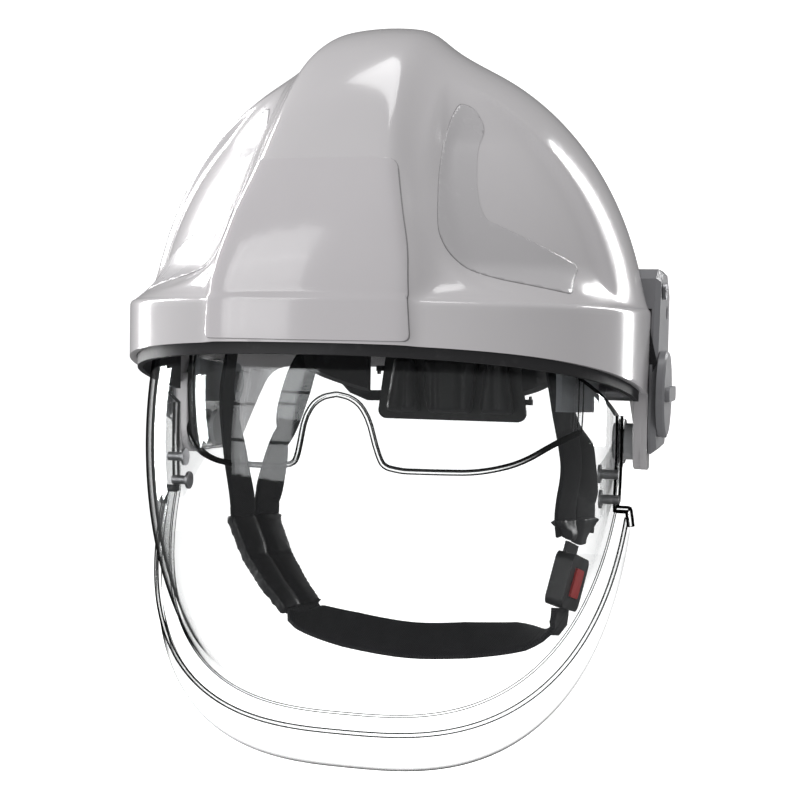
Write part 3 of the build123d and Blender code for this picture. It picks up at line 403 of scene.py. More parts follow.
def rounded(points, radius, steps):
    """Outline with rounded corners; radius may be one number or one for each corner."""
    outline = []
    count = len(points)
    for index, point in enumerate(points):
        size = radius if isinstance(radius, (int, float)) else radius[index]
        before, after = Vector(points[index - 1]), Vector(points[(index + 1) % count])
        corner = Vector(point)
        back, ahead = (before - corner), (after - corner)
        room = min(size, back.length * CORNER_SHARE, ahead.length * CORNER_SHARE)
        start, end = corner + back.normalized() * room, corner + ahead.normalized() * room
        for step in range(steps + 1):
            t = step / steps
            point = start * (1 - t) ** 2 + corner * 2 * t * (1 - t) + end * t * t
            outline.append((point.x, point.y))
    return outline


# Cushions: the solids' shapes, blown up like stuffed covers, with sewn channels

def evaluated(piece):
    """The piece's mesh with its modifiers applied."""
    depsgraph = bpy.context.evaluated_depsgraph_get()
    return bpy.data.meshes.new_from_object(piece.evaluated_get(depsgraph))


CLOTH_PRESSURE, CLOTH_QUALITY, CLOTH_STEPS = 4, 4, 15


def cushion(name, node, voxel, shrink, cap, channels=()):
    """Padded piece in place of a solid. A channel is a line, its width's direction, a depth and a spread."""
    bm = bmesh.new()
    bm.from_mesh(nodes[node].data)
    bmesh.ops.remove_doubles(bm, verts=bm.verts, dist=0.02 * MM)
    bmesh.ops.recalc_face_normals(bm, faces=bm.faces)
    mesh = bpy.data.meshes.new(name)
    bm.to_mesh(mesh)
    bm.free()
    piece = bpy.data.objects.new(name, mesh)
    bpy.context.scene.collection.objects.link(piece)
    remesh = piece.modifiers.new("remesh", "REMESH")
    remesh.mode, remesh.voxel_size = "VOXEL", voxel * MM
    piece.data = evaluated(piece)
    piece.modifiers.remove(remesh)
    for vert in piece.data.vertices:
        vert.co -= vert.normal * shrink * MM
    before = [vert.co.copy() for vert in piece.data.vertices]
    cloth = piece.modifiers.new("cloth", "CLOTH")
    cloth.settings.use_pressure = True
    cloth.settings.uniform_pressure_force = CLOTH_PRESSURE
    cloth.settings.effector_weights.gravity = 0
    cloth.settings.quality = CLOTH_QUALITY
    for step in range(1, CLOTH_STEPS + 1):
        bpy.context.scene.frame_set(step)
    after = [vert.co.copy() for vert in evaluated(piece).vertices]
    piece.modifiers.remove(cloth)
    bpy.context.scene.frame_set(1)
    for vert, old, new in zip(piece.data.vertices, before, after):
        move = new - old
        if move.length > cap * MM:
            move *= cap * MM / move.length
        vert.co = old + move
    for centre_line, side, depth, spread in channels:
        line = [Vector(point) * MM for point in centre_line]
        side = Vector(side).normalized()
        for vert in piece.data.vertices:
            best = None
            for start, end in zip(line, line[1:]):
                run = end - start
                t = min(max((vert.co - start).dot(run) / run.length_squared, 0), 1)
                foot = start + run * t
                if best is None or (vert.co - foot).length < best[0]:
                    best = ((vert.co - foot).length, vert.co - foot, run.normalized())
            across = (side - best[2] * side.dot(best[2])).normalized()
            out = across.cross(best[2])
            off = best[1].dot(across) / MM
            sign = 1 if best[1].dot(out) > 0 else -1
            vert.co -= out * sign * depth * MM * math.exp(-(off / spread) ** 2)
    for polygon in piece.data.polygons:
        polygon.use_smooth = True
    piece.data.materials.clear()
    piece.data.materials.append(pad_textile)
    rounding = piece.modifiers.new("rounding", "SUBSURF")
    rounding.levels = rounding.render_levels = 1
    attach(piece, "helmet")
    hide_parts(node)
    return piece


NAPE_CHANNELS = {"middle": [(-7.5, -7.5), (7.5, 7.5)], "left": [(27, 26)], "right": [(-27, -26)]}
for place, lines in NAPE_CHANNELS.items():
    cushion(f"nape_cushion_{place}", f"nape_pad_{place}", 1.5, 0.5, 1.4,
            [([(low_x, 106, -40), (high_x, 106, -2)], (1, 0, 0), 1.1, 1.6) for low_x, high_x in lines])
RIGHT_CHEEK = [(-78.4, 5, -84), (-78.3, 4.8, -90), (-68, -3, -107), (-56, -12, -119), (-41, -19.5, -131)]
LEFT_CHEEK = [(89, 0.6, -77), (89.1, 0.45, -83.1), (89.4, 0.1, -87.1), (88.4, -1.1, -91.9), (87, -2.5, -97)]
for place, line, width in (("right", RIGHT_CHEEK, (0.35, 0.93, 0.1)), ("left", LEFT_CHEEK, (0.4, 0.9, 0))):
    cushion(f"cheek_cushion_{place}", f"cheek_pad_{place}", 1.8, 0.5, 1.6, [(line, width, 2.0, 2.2)])
cushion("brow_cushion", "brow_pad", 2.2, 0.5, 1.8)
cushion("crown_cushion", "crown_pad", 1.8, 0.4, 1.4)


# Outer shell: a dome with a raised crest, scooped flanks and a brim

DOME_HALF_WIDTH, DOME_FRONT, DOME_REAR, DOME_HEIGHT = 121, 141, 147, 146
BRIM_HALF_WIDTH, BRIM_HALF_LENGTH, BRIM_TOP = 122.5, 151, 22
BRIM_POWER = 2.3
SHELL_WALL = 3.2
CREST_REACH, CREST_HALF_WIDTH, CREST_DEPTH, CREST_FLARE = 156, 44, 28.5, 32
crest_reach = smooth_curve([(-40, 0.90), (-15, 0.955), (0, 0.968), (10, 0.977), (21, 0.974), (32, 0.974),
                            (46, 0.982), (62, 0.996), (76, 1.0), (90, 1.0), (118, 0.975), (146, 0.94),
                            (166, 0.87), (190, 0.7)])
crest_width = smooth_curve([(-15, 1.0), (10, 0.98), (21, 0.86), (32, 0.70), (46, 0.6), (62, 0.53), (76, 0.46),
                            (90, 0.40), (118, 0.36), (146, 0.32), (166, 0.24)])
crest_flare = smooth_curve([(-15, 0.22), (10, 0.25), (21, 0.30), (32, 0.38), (46, 0.5), (62, 0.75), (76, 0.95),
                            (90, 1.0), (166, 1.0)])
scoop_inner = smooth_curve([(22, 62), (24, 38), (29, 25), (39, 20.2), (55, 18.2), (72, 17.6), (95, 20.2),
                            (113, 24.5), (124, 31)])
scoop_outer = smooth_curve([(22, 68), (54, 65.4), (76, 61.4), (96, 54.8), (111, 46), (119, 37), (124, 31)])
SCOOP_DEPTH, SCOOP_WALL_LOSS = 8, 0.6
SCOOP_LOW, SCOOP_HIGH, SCOOP_WIDEST = 22, 124, 70
SKIRT_LOW, BRIM_ROUNDING, BRIM_LIFT, BRIM_FADE = -60, 3, 0.5, 6.5
CREST_BLEND = 6


def brim_reach(turn):
    """Distance of the brim's oval from the middle, at an angle from the front."""
    side, ahead = abs(math.sin(turn)), abs(math.cos(turn))
    total = (side / BRIM_HALF_WIDTH) ** BRIM_POWER + (ahead / BRIM_HALF_LENGTH) ** BRIM_POWER
    return total ** (-1 / BRIM_POWER)


def soft_most(a, b, blend):
    """The larger of two values, rounded where they cross."""
    h = max(blend - abs(a - b), 0) / blend
    return max(a, b) + h * h * blend / 4


def crest_at(direction):
    """Distance to the crest's surface along a direction."""
    over = math.hypot(direction.y, direction.z)
    side = abs(direction.x)
    angle = math.degrees(math.atan2(direction.z, -direction.y))
    if angle < -90:
        angle += 360
    top = CREST_REACH * crest_reach(angle)
    half = CREST_HALF_WIDTH * crest_width(angle)
    flare = CREST_FLARE * crest_flare(angle)
    low, high = 0.0, 260.0
    for _ in range(18):
        middle = (low + high) / 2
        past = middle * side - half
        past = (math.sqrt(past * past + 9) + past) / 2
        share = past / flare
        drop = CREST_DEPTH * share * (1 + 0.5 * max(share - 1, 0)) + 1.5 * min(middle * side / half, 1) ** 2
        if middle * over > top - drop:
            high = middle
        else:
            low = middle
    return low


def scoop_at(turn, height):
    """How deep the flank is scooped, at an angle from the front and a height."""
    turn = abs(math.degrees(turn))
    if not SCOOP_LOW < height < SCOOP_HIGH or turn > SCOOP_WIDEST:
        return 0.0
    inner, outer = scoop_inner(height), scoop_outer(height)
    share = (turn - inner) / max(outer - inner, 1)
    if not 0 < share < 1:
        return 0.0
    across = ease(share, 0, 0.2) * (1 - ease(share, 0.3, 0.95) * 0.55) * (1 - ease(share, 0.88, 1) ** 1.5)
    tall = ease(height, 23, 42) * (1 - ease(height, 96, 123))
    return SCOOP_DEPTH * across * tall


def dress_point(point):
    """Moves a point of the plain dome or brim to the finished surface."""
    reach = point.length
    turn = math.atan2(point.x, -point.y)
    reach -= scoop_at(turn, point.z)
    direction = point.normalized()
    return direction * soft_most(reach, crest_at(direction), CREST_BLEND)


def plain_point(turn, share):
    """Point of the brim, share from 0 to 1, or of the dome, share from 1 to 2."""
    brim = brim_reach(turn)
    if share <= 1:
        height = SKIRT_LOW + (BRIM_TOP - BRIM_ROUNDING - SKIRT_LOW) * share
        return Vector((math.sin(turn) * brim, -math.cos(turn) * brim, height))
    rise = share - 1
    corner = 0.06
    dome_length = DOME_FRONT if math.cos(turn) > 0 else DOME_REAR
    lean = math.hypot(math.sin(turn) / DOME_HALF_WIDTH, math.cos(turn) / dome_length)
    start = math.asin((BRIM_TOP + BRIM_LIFT) / DOME_HEIGHT)
    if rise < corner:
        bend = math.pi / 2 * rise / corner
        dome = math.cos(start) / lean
        ledge = max(brim - dome, 0)
        inset = min(BRIM_ROUNDING, ledge * 0.5)
        out = brim - inset * (1 - math.cos(bend))
        height = BRIM_TOP - BRIM_ROUNDING + BRIM_ROUNDING * math.sin(bend)
        return Vector((math.sin(turn) * out, -math.cos(turn) * out, height))
    rise = (rise - corner) / (1 - corner)
    lift = start + (math.pi / 2 - start) * (0.55 * rise ** 1.6 + 0.45 * rise)
    dome = math.cos(lift) / lean
    height = DOME_HEIGHT * math.sin(lift)
    edge = math.cos(start) / lean
    ledge = brim - min(BRIM_ROUNDING, (brim - edge) * 0.5) - edge
    out = dome + max(ledge, 0) * math.exp(-(height - BRIM_TOP - BRIM_LIFT) / BRIM_FADE)
    return Vector((math.sin(turn) * out, -math.cos(turn) * out, height))


def surface_point(turn, share):
    return dress_point(plain_point(turn, share))


SHELL_COLUMNS, SHELL_ROWS, SKIRT_ROWS_SHARE = 300, 108, 0.16
bm = bmesh.new()
bmesh.ops.create_grid(bm, x_segments=SHELL_COLUMNS, y_segments=SHELL_ROWS, size=1)
for vert in bm.verts:
    turn = math.pi * vert.co.x
    turn -= 0.25 * math.sin(turn)
    share = (vert.co.y + 1) / 2
    if share < SKIRT_ROWS_SHARE:
        share = share / SKIRT_ROWS_SHARE
    else:
        share = 1 + (share - SKIRT_ROWS_SHARE) / (1 - SKIRT_ROWS_SHARE)
    vert.co = surface_point(turn, min(share, 2))
bmesh.ops.remove_doubles(bm, verts=bm.verts, dist=0.02)

rim_bend = smooth_curve([(-160, 5), (-118, 0.2), (-75, -6), (-35, -12.6), (3, -19)])
rim_outline = [(-170, rim_bend(-160))] + [(y, rim_bend(y)) for y in range(-155, 0, 8)] + [(3, -19)]
rim_outline += rounded([(3, -30), (3, -56), (66, -56), (92, -12), (120, -12)], [1, 9, 9, 12, 1], 5)
rim_outline += [(170, -12), (170, 200), (-170, 200)]
cut_to_outline(bm, rim_outline, (0, 1, 0), (0, 0, 1), only=lambda centre: centre.z < 14)
bmesh.ops.recalc_face_normals(bm, faces=bm.faces)
shell = finish_piece(bm, "shell_skin", "helmet", [shell_white], 60, ["outer_shell"])
thicken(shell, SHELL_WALL, 0.9, 2)
# The wall is thinner behind the scoops, where the raised face shield passes.
wall_group = shell.vertex_groups.new(name="wall")
for vert in shell.data.vertices:
    depth = scoop_at(math.atan2(vert.co.x, -vert.co.y), vert.co.z / MM)
    wall_group.add([vert.index], 1 - SCOOP_WALL_LOSS * depth / SCOOP_DEPTH, "REPLACE")
shell.modifiers["wall"].vertex_group = "wall"


# Front panel and reflective films, thin plates that follow the shell, each over a slightly larger dark plate of
# painted seam shade

def plain_out(turn, height):
    """Distance of the plain dome or brim from the upright axis."""
    brim = brim_reach(turn)
    if height <= BRIM_TOP + BRIM_LIFT:
        return brim
    dome_length = DOME_FRONT if math.cos(turn) > 0 else DOME_REAR
    lean = math.hypot(math.sin(turn) / DOME_HALF_WIDTH, math.cos(turn) / dome_length)
    edge = math.sqrt(1 - ((BRIM_TOP + BRIM_LIFT) / DOME_HEIGHT) ** 2) / lean
    dome = math.sqrt(max(1 - (height / DOME_HEIGHT) ** 2, 0)) / lean
    ledge = brim - min(BRIM_ROUNDING, (brim - edge) * 0.5) - edge
    return dome + max(ledge, 0) * math.exp(-(height - BRIM_TOP - BRIM_LIFT) / BRIM_FADE)


def shell_reach(direction):
    """Distance from the middle to the finished shell along a direction."""
    turn = math.atan2(direction.x, -direction.y)
    level = math.hypot(direction.x, direction.y)
    low, high = 60.0, 200.0
    for _ in range(18):
        middle = (low + high) / 2
        if middle * level > plain_out(turn, middle * direction.z):
            high = middle
        else:
            low = middle
    return dress_point(direction * low).length


def on_shell(across, up, right, height, lift):
    """Point of the shell that lies at (right, height) when seen along across x up, lifted off it."""
    flat = across * right + up * height
    toward = up.cross(across)
    toward = toward if toward.y < 0 else -toward
    reach = 150.0
    for _ in range(5):
        depth = math.sqrt(max(reach * reach - flat.length_squared, 1))
        direction = (flat + toward * depth).normalized()
        reach = shell_reach(direction)
    return direction * (reach + lift)


PLATE_ROOT = 0.3
UPRIGHT = (0, 0, 1)


def plate(name, outline, across, cells, thickness, bevel, material, replaced=()):
    """Thin plate on the shell with an outline given in millimetres, rooted a little way in it."""
    across, up = Vector(across).normalized(), Vector(UPRIGHT)
    low_x, high_x = min(p[0] for p in outline), max(p[0] for p in outline)
    low_y, high_y = min(p[1] for p in outline), max(p[1] for p in outline)
    bm = bmesh.new()
    bmesh.ops.create_grid(bm, x_segments=cells[0], y_segments=cells[1], size=1)
    for vert in bm.verts:
        right = (low_x + high_x) / 2 + (high_x - low_x + 2) / 2 * vert.co.x
        height = (low_y + high_y) / 2 + (high_y - low_y + 2) / 2 * vert.co.y
        vert.co = across * right + up * height
    cut_to_outline(bm, outline, across, up)
    for vert in bm.verts:
        vert.co = on_shell(across, up, vert.co.dot(across), vert.co.dot(up), thickness)
    bmesh.ops.recalc_face_normals(bm, faces=bm.faces)
    if sum(face.normal.dot(face.calc_center_median()) for face in bm.faces) < 0:
        bmesh.ops.reverse_faces(bm, faces=bm.faces)
    piece = finish_piece(bm, name, "helmet", [material], 60, replaced)
    return thicken(piece, thickness + PLATE_ROOT, bevel)


panel_sides = [(43.4, 5.3), (42.0, 26), (40.5, 41), (36.5, 57), (32.5, 72), (30.5, 80)]
panel_corners = [(-x, z) for x, z in panel_sides] + [(x, z) for x, z in reversed(panel_sides)]
panel_outline = rounded(panel_corners, [3, 12, 12, 12, 9, 5, 5, 9, 12, 12, 12, 3], 4)
plate("front_plate", panel_outline, (1, 0, 0), (60, 52), 0.9, 0.35, panel_white, ["front_panel"])
# The seam plate is the panel's outline grown a little, just under the panel: painted shade in the gap between
# panel and shell
PANEL_MIDDLE, PANEL_GROWTH, PANEL_SEAM_SHADE_LOW = 44, 1.011, 5.1
seam_shade_outline = [(x * PANEL_GROWTH, max(PANEL_MIDDLE + (z - PANEL_MIDDLE) * PANEL_GROWTH, PANEL_SEAM_SHADE_LOW))
                for x, z in panel_outline]
plate("panel_seam_shade", seam_shade_outline, (1, 0, 0), (60, 52), 0.12, 0.0, seam_grey)

film_corners = [(-12, 111.5), (-4.8, 108.7), (-2, 99), (-9.8, 88), (-14.5, 74), (-15.6, 65), (-14.5, 57.5),
                (31, 40), (32, 38), (21, 26.5), (-15, 32), (-28, 36), (-36, 43), (-39, 50.5), (-38, 58),
                (-31, 82), (-19, 103.5)]
film_radii = [4, 3, 6, 10, 10, 8, 5, 2, 2, 3, 10, 8, 6, 6, 8, 14, 10]
FILM_TURN, FILM_MIDDLE, FILM_GROWTH = math.radians(40), (-4, 68), 1.012
for side, flip in (("left", 1), ("right", -1)):
    film_across = (math.cos(flip * FILM_TURN), math.sin(flip * FILM_TURN), 0)
    film_outline = rounded([(flip * u, z) for u, z in film_corners], film_radii, 4)
    plate(f"reflective_film_{side}", film_outline, film_across, (50, 60), 0.28, 0.0, film_grey,
          [f"film_{side}"])
    # A slightly larger grey plate under each film paints the shade along the film's edge
    middle_u, middle_z = flip * FILM_MIDDLE[0], FILM_MIDDLE[1]
    seam_shade_outline = [(middle_u + (u - middle_u) * FILM_GROWTH, middle_z + (z - middle_z) * FILM_GROWTH)
                    for u, z in film_outline]
    plate(f"film_seam_shade_{side}", seam_shade_outline, film_across, (50, 60), 0.06, 0.0, seam_grey)


# Face shield and ocular visor, sheets swept round their pivots

SHIELD_POWER = 2.8


def bow(half_width, reach, turn):
    """Point across a visor: distance to the side and distance from its axis."""
    side = half_width * math.copysign(abs(math.sin(turn)) ** (2 / SHIELD_POWER), turn)
    return side, reach * abs(math.cos(turn)) ** (2 / SHIELD_POWER)


FACE_PIVOT, OCULAR_PIVOT = (20, -43), (18, -19)
SHIELD_REACH, SHIELD_HALF_WIDTH, SHIELD_WALL = 158, 113, 2.5
SHIELD_TOP, SHIELD_REAR = math.radians(20), -20
FOOT_ANGLE, LIP_ANGLE = math.radians(-55.7), math.radians(-62)


def shield_point(turn, share):
    """Point of the shield: share 0 to 1 down the face, to 2 over the ledge, to 3 down the lip."""
    side, reach = bow(SHIELD_HALF_WIDTH, SHIELD_REACH, turn)
    half = FACE_PIVOT[0] * math.cos(FOOT_ANGLE)
    along = -half + math.sqrt(max(half * half + reach * reach - FACE_PIVOT[0] ** 2, 0))
    foot_y, foot_z = -along * math.cos(FOOT_ANGLE), FACE_PIVOT[1] + along * math.sin(FOOT_ANGLE)
    low = math.atan2(foot_z - FACE_PIVOT[1], FACE_PIVOT[0] - foot_y)
    if share <= 1:
        angle = SHIELD_TOP + (low - SHIELD_TOP) * share
        return Vector((side, FACE_PIVOT[0] - reach * math.cos(angle), FACE_PIVOT[1] + reach * math.sin(angle)))
    foot = Vector((side, foot_y, foot_z))
    lip_side, lip_reach = bow(118, 155, turn)
    lip_z = FACE_PIVOT[1] + lip_reach * math.sin(FOOT_ANGLE)
    lip = Vector((lip_side, -lip_reach * math.cos(FOOT_ANGLE), lip_z))
    if share <= 2:
        return foot.lerp(lip, share - 1)
    low_side, low_reach = bow(119.5, 166, turn)
    edge_z = FACE_PIVOT[1] + low_reach * math.sin(LIP_ANGLE)
    edge = Vector((low_side, -low_reach * math.cos(LIP_ANGLE), edge_z))
    return lip.lerp(edge, share - 2)


BEAD_SPACING = 0.6


def edge_loop(bm):
    """Points of a sheet's free edge, in order, in millimetres, from its edge furthest to the right side."""
    edges = {edge for edge in bm.edges if len(edge.link_faces) == 1}
    edge = min(edges, key=lambda edge: sorted(tuple(vert.co) for vert in edge.verts))
    vert, points = min(edge.verts, key=lambda vert: tuple(vert.co)), []
    while edge is not None:
        edges.discard(edge)
        if not points or (vert.co - points[-1]).length > BEAD_SPACING:
            points.append(vert.co.copy())
        vert = edge.other_vert(vert)
        edge = next((other for other in vert.link_edges if other in edges), None)
    return points


def bead(name, body, points, radius, closed=False, material=shield_rim):
    """Rounded clear rim along a line of points; the default material paints it dark towards its sides."""
    curve = bpy.data.curves.new(name, "CURVE")
    curve.dimensions = "3D"
    spline = curve.splines.new("POLY")
    spline.points.add(len(points) - 1)
    for place, point in zip(spline.points, points):
        place.co = (*(point * MM), 1)
    spline.use_cyclic_u = closed
    curve.bevel_depth = radius * MM
    curve.bevel_resolution = 3
    curve.use_fill_caps = True
    line = bpy.data.objects.new(name, curve)
    bpy.context.scene.collection.objects.link(line)
    mesh = evaluated(line)
    bpy.data.objects.remove(line)
    piece = bpy.data.objects.new(name, mesh)
    bpy.context.scene.collection.objects.link(piece)
    mesh.materials.clear()
    mesh.materials.append(material)
    for polygon in mesh.polygons:
        polygon.use_smooth = True
    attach(piece, body)
    return piece


SHIELD_SWEEP, FACE_ROWS, LEDGE_ROWS = math.radians(87.5), 0.72, 0.12
bm = bmesh.new()
bmesh.ops.create_grid(bm, x_segments=150, y_segments=62, size=1)
for vert in bm.verts:
    turn = vert.co.x * SHIELD_SWEEP
    step = (vert.co.y + 1) / 2
    if step < FACE_ROWS:
        share = step / FACE_ROWS
    elif step < FACE_ROWS + LEDGE_ROWS:
        share = 1 + (step - FACE_ROWS) / LEDGE_ROWS
    else:
        share = 2 + (step - FACE_ROWS - LEDGE_ROWS) / (1 - FACE_ROWS - LEDGE_ROWS)
    vert.co = shield_point(turn, share)
bmesh.ops.bisect_plane(bm, geom=bm.verts[:] + bm.edges[:] + bm.faces[:], dist=0.001,
                       plane_co=(0, SHIELD_REAR, 0), plane_no=(0, 1, 0), clear_outer=True)
if sum(face.normal.dot(face.calc_center_median() - Vector((0, 0, -60))) for face in bm.faces) < 0:
    bmesh.ops.reverse_faces(bm, faces=bm.faces)
shield = finish_piece(bm, "shield_sheet", "face_shield_set", [shield_clear, shield_edge], 30,
                      ["face_shield"])
SPAN = [math.radians(-84 + 168 * step / 120) for step in range(121)]
for place, share, radius in (("ledge", 1.96, 1.2), ("root", 1.0, 0.7)):
    bead_line = [point for point in (shield_point(turn, share) for turn in SPAN) if point.y < SHIELD_REAR]
    bead(f"shield_{place}_bead", "face_shield_set", bead_line, radius)
for side, turns in (("right", SPAN[:30]), ("left", SPAN[:-31:-1])):
    rear_line = []
    for step in range(60):
        share = step / 20
        near = min(turns, key=lambda turn: abs(shield_point(turn, share).y - SHIELD_REAR - 0.6))
        low, high = near - 0.05, near + 0.05
        for _ in range(20):
            middle = (low + high) / 2
            if (shield_point(middle, share).y > SHIELD_REAR) == (shield_point(low, share).y > SHIELD_REAR):
                low = middle
            else:
                high = middle
        rear_line.append(shield_point((low + high) / 2, share))
    # Near-black rods along the rear edges: painted darkness in place of the dark line that a thick clear edge
    # shows by refraction
    bead(f"shield_rear_bead_{side}", "face_shield_set", rear_line, 1.9, material=shield_dark)
thicken(shield, SHIELD_WALL, 0.5, 2, rim=1)

OCULAR_REACH, OCULAR_HALF_WIDTH, OCULAR_WALL = 122, 100, 2.4
nose_half = smooth_curve([(-51.2, 29), (-50, 22.5), (-48, 19.8), (-41, 17.4), (-30, 14.6), (-23, 10.6),
                          (-19.6, 5.5), (-18.5, 0.6)])
NOSE_HEIGHTS = (-18.5, -18.7, -19.1, -19.6, -20.4, -21.5, -23, -25, -28, -32, -36, -40, -44, -46.5, -48, -49,
                -50, -50.7)
lens_corners = [(29, -51.2), (60, -51.5), (76, -48), (91, -38), (106, -31), (106, 7), (29, 7)]
lens_side = [(nose_half(z), z) for z in NOSE_HEIGHTS]
lens_side += [point for point in rounded(lens_corners, [0.1, 12, 12, 10, 0.1, 0.1, 0.1], 7) if point[0] > 29.01]
ocular_outline = lens_side + [(-x, z) for x, z in reversed(lens_side)]
OCULAR_SWEEP, OCULAR_TOP, OCULAR_DROP, OCULAR_REAR = math.radians(80), 9, 62, -36
bm = bmesh.new()
bmesh.ops.create_grid(bm, x_segments=170, y_segments=40, size=1)
for vert in bm.verts:
    turn = vert.co.x * OCULAR_SWEEP
    side, reach = bow(OCULAR_HALF_WIDTH, OCULAR_REACH, turn)
    height = OCULAR_TOP - OCULAR_DROP * (1 - vert.co.y) / 2
    drop = min(max((height - OCULAR_PIVOT[1]) / reach, -0.98), 0.98)
    vert.co = Vector((side, OCULAR_PIVOT[0] - reach * math.cos(math.asin(drop)), height))
cut_to_outline(bm, ocular_outline, (1, 0, 0), (0, 0, 1))
bmesh.ops.bisect_plane(bm, geom=bm.verts[:] + bm.edges[:] + bm.faces[:], dist=0.001,
                       plane_co=(0, OCULAR_REAR, 0), plane_no=(0, 1, 0), clear_outer=True)
if sum(face.normal.dot(face.calc_center_median()) for face in bm.faces) < 0:
    bmesh.ops.reverse_faces(bm, faces=bm.faces)
bead("ocular_bead", "ocular_set", edge_loop(bm), 1.35, closed=True)
ocular = finish_piece(bm, "ocular_sheet", "ocular_set", [shield_clear, shield_edge], 30,
                      ["ocular_lens"])
thicken(ocular, OCULAR_WALL, 0.6, 2, rim=1)


# Black three-cornered insets in the front faces of the side modules

INSET_CORNERS = [(117, 31), (118.2, 30.5), (126.2, -3.6), (120.3, -18), (120, 12)]
INSET_FRONT, INSET_THICKNESS = 5.2, 3.4
for side, flip in (("left", 1), ("right", -1)):
    bm = bmesh.new()
    outline = rounded([(flip * x, z) for x, z in INSET_CORNERS], [0.1, 0.4, 0.8, 0.8, 0.1], 3)
    front = bm.faces.new([bm.verts.new((x, INSET_FRONT, z)) for x, z in outline])
    raised = bmesh.ops.extrude_face_region(bm, geom=[front])
    bmesh.ops.translate(bm, verts=[v for v in raised["geom"] if isinstance(v, bmesh.types.BMVert)],
                        vec=(0, INSET_THICKNESS, 0))
    bmesh.ops.recalc_face_normals(bm, faces=bm.faces)
    finish_piece(bm, f"inset_wedge_{side}", "helmet", [inset_black], 30,
                 [f"module_inset_{side}"])


# Straps of webbing: stations are the points and the direction of the width, as in the solids

def strap(name, stations, width, wall, replaced=(), material=webbing_black):
    """Flat woven strap with rounded edges, following a smooth line through its stations."""
    points = [Vector(station[0]) for station in stations]
    sides = [Vector(station[1]).normalized() for station in stations]
    line = []
    for index in range(len(points) - 1):
        p0, p1 = points[max(index - 1, 0)], points[index]
        p2, p3 = points[index + 1], points[min(index + 2, len(points) - 1)]
        steps = max(int((p2 - p1).length / 3), 3)
        for step in range(steps):
            t = step / steps
            bend = 0.5 * (2 * p1 + (p2 - p0) * t + (2 * p0 - 5 * p1 + 4 * p2 - p3) * t * t
                          + (3 * p1 - p0 - 3 * p2 + p3) * t ** 3)
            line.append((bend, sides[index].lerp(sides[index + 1], t)))
    line.append((points[-1], sides[-1]))
    bm = bmesh.new()
    bmesh.ops.create_grid(bm, x_segments=8, y_segments=len(line) - 1, size=1)
    rows = len(line) - 1
    run = [0.0]
    for before, after in zip(line, line[1:]):
        run.append(run[-1] + (after[0] - before[0]).length)
    marks = bm.loops.layers.uv.new("weave")
    place = {}
    for vert in bm.verts:
        row = round((vert.co.y + 1) / 2 * rows)
        across = vert.co.x
        point, side = line[row]
        ahead = (line[min(row + 1, rows)][0] - line[max(row - 1, 0)][0]).normalized()
        side = (side - ahead * side.dot(ahead)).normalized()
        place[vert.index] = (run[row] * MM, across * width / 2 * MM)
        vert.co = point + side * across * width / 2
    for face in bm.faces:
        for loop in face.loops:
            loop[marks].uv = place[loop.vert.index]
    piece = finish_piece(bm, name, "helmet", [material], 60, replaced)
    thicken(piece, wall, wall * 0.35, 2, offset=0.0)
    return piece


strap("web_front_left", (((78.3, -24.3, 24), (0.22, 0.98, 0)), ((78.3, -24.3, 8), (0.22, 0.98, 0)),
                         ((80.5, -23, -2), (0.3, 0.95, 0)), ((84.5, -17, -25), (0.4, 0.9, 0)),
                         ((88, -8.5, -52), (0.4, 0.9, 0)), ((86, -7.4, -71), (0.4, 0.9, 0)),
                         ((85.5, -7.6, -79), (0.4, 0.9, 0)), ((86.2, -6.9, -87), (0.4, 0.9, 0))),
      17, 1.8, ["strap_front_left"])
strap("web_front_right", (((-78.3, -24.3, 24), (-0.22, 0.98, 0)), ((-78.3, -24.3, 8), (-0.22, 0.98, 0)),
                          ((-81, -23, -2), (-0.1, 0.98, 0)), ((-85, -19, -25), (0, 1, 0)),
                          ((-84.5, -8, -55), (0.3, 0.95, 0)), ((-82.3, -3.3, -77), (0.4, 0.92, 0)),
                          ((-81.9, -3.1, -84.8), (0.4, 0.92, 0)), ((-80.5, -2.9, -93), (0.4, 0.92, 0))),
      17, 1.8, ["strap_front_right"])
strap("web_rear_left", (((70.6, 71, -2.5), (-0.5, 0.86, 0)), ((75, 64, -16), (-0.4, 0.86, 0.3)),
                        ((85, 34, -46), (0, 0.8, 0.6)), ((91.5, 12, -67), (0.3, 0.9, 0.3)),
                        ((92.3, 9.2, -73), (0.4, 0.9, 0)), ((92.5, 8.7, -79), (0.4, 0.9, 0)),
                        ((92.4, 7, -87), (0.4, 0.9, 0))), 17, 1.8,
      ["strap_rear_left"])
strap("web_rear_right", (((-70.6, 71, -2.5), (0.5, 0.86, 0)), ((-74.5, 64, -16), (0.4, 0.86, 0.3)),
                         ((-75, 36, -48), (0, 0.8, 0.6)), ((-74.6, 17, -73), (0.3, 0.9, 0.3)),
                         ((-74.8, 13.6, -79), (0.4, 0.92, 0)), ((-74.8, 13.2, -85.4), (0.4, 0.92, 0)),
                         ((-75, 11.2, -93), (0.4, 0.92, 0))), 17, 1.8,
      ["strap_rear_right"])
strap("web_chin", (((-50, -15.3, -124.2), (0.2, 1, 0.3)), ((-43.2, -18.65, -129.75), (0.2, 1, 0.3)),
                   ((-39.2, -20.7, -133.1), (0.15, 0.95, 0.4)), ((-15, -28, -136.5), (0, 0.8, 0.6)),
                   ((15, -30, -139), (0, 0.8, 0.6)), ((42, -26, -138), (0, 0.8, 0.6)),
                   ((67, -17.5, -136), (-0.1, 0.9, 0.4)), ((82.44, -11.47, -131.87), (0.139, 0.954, -0.267)),
                   ((84.37, -9.16, -122.65), (0.139, 0.954, -0.267))), 21, 2.6, ["chin_band"])


# Rounded lips along the free edges of the skirts

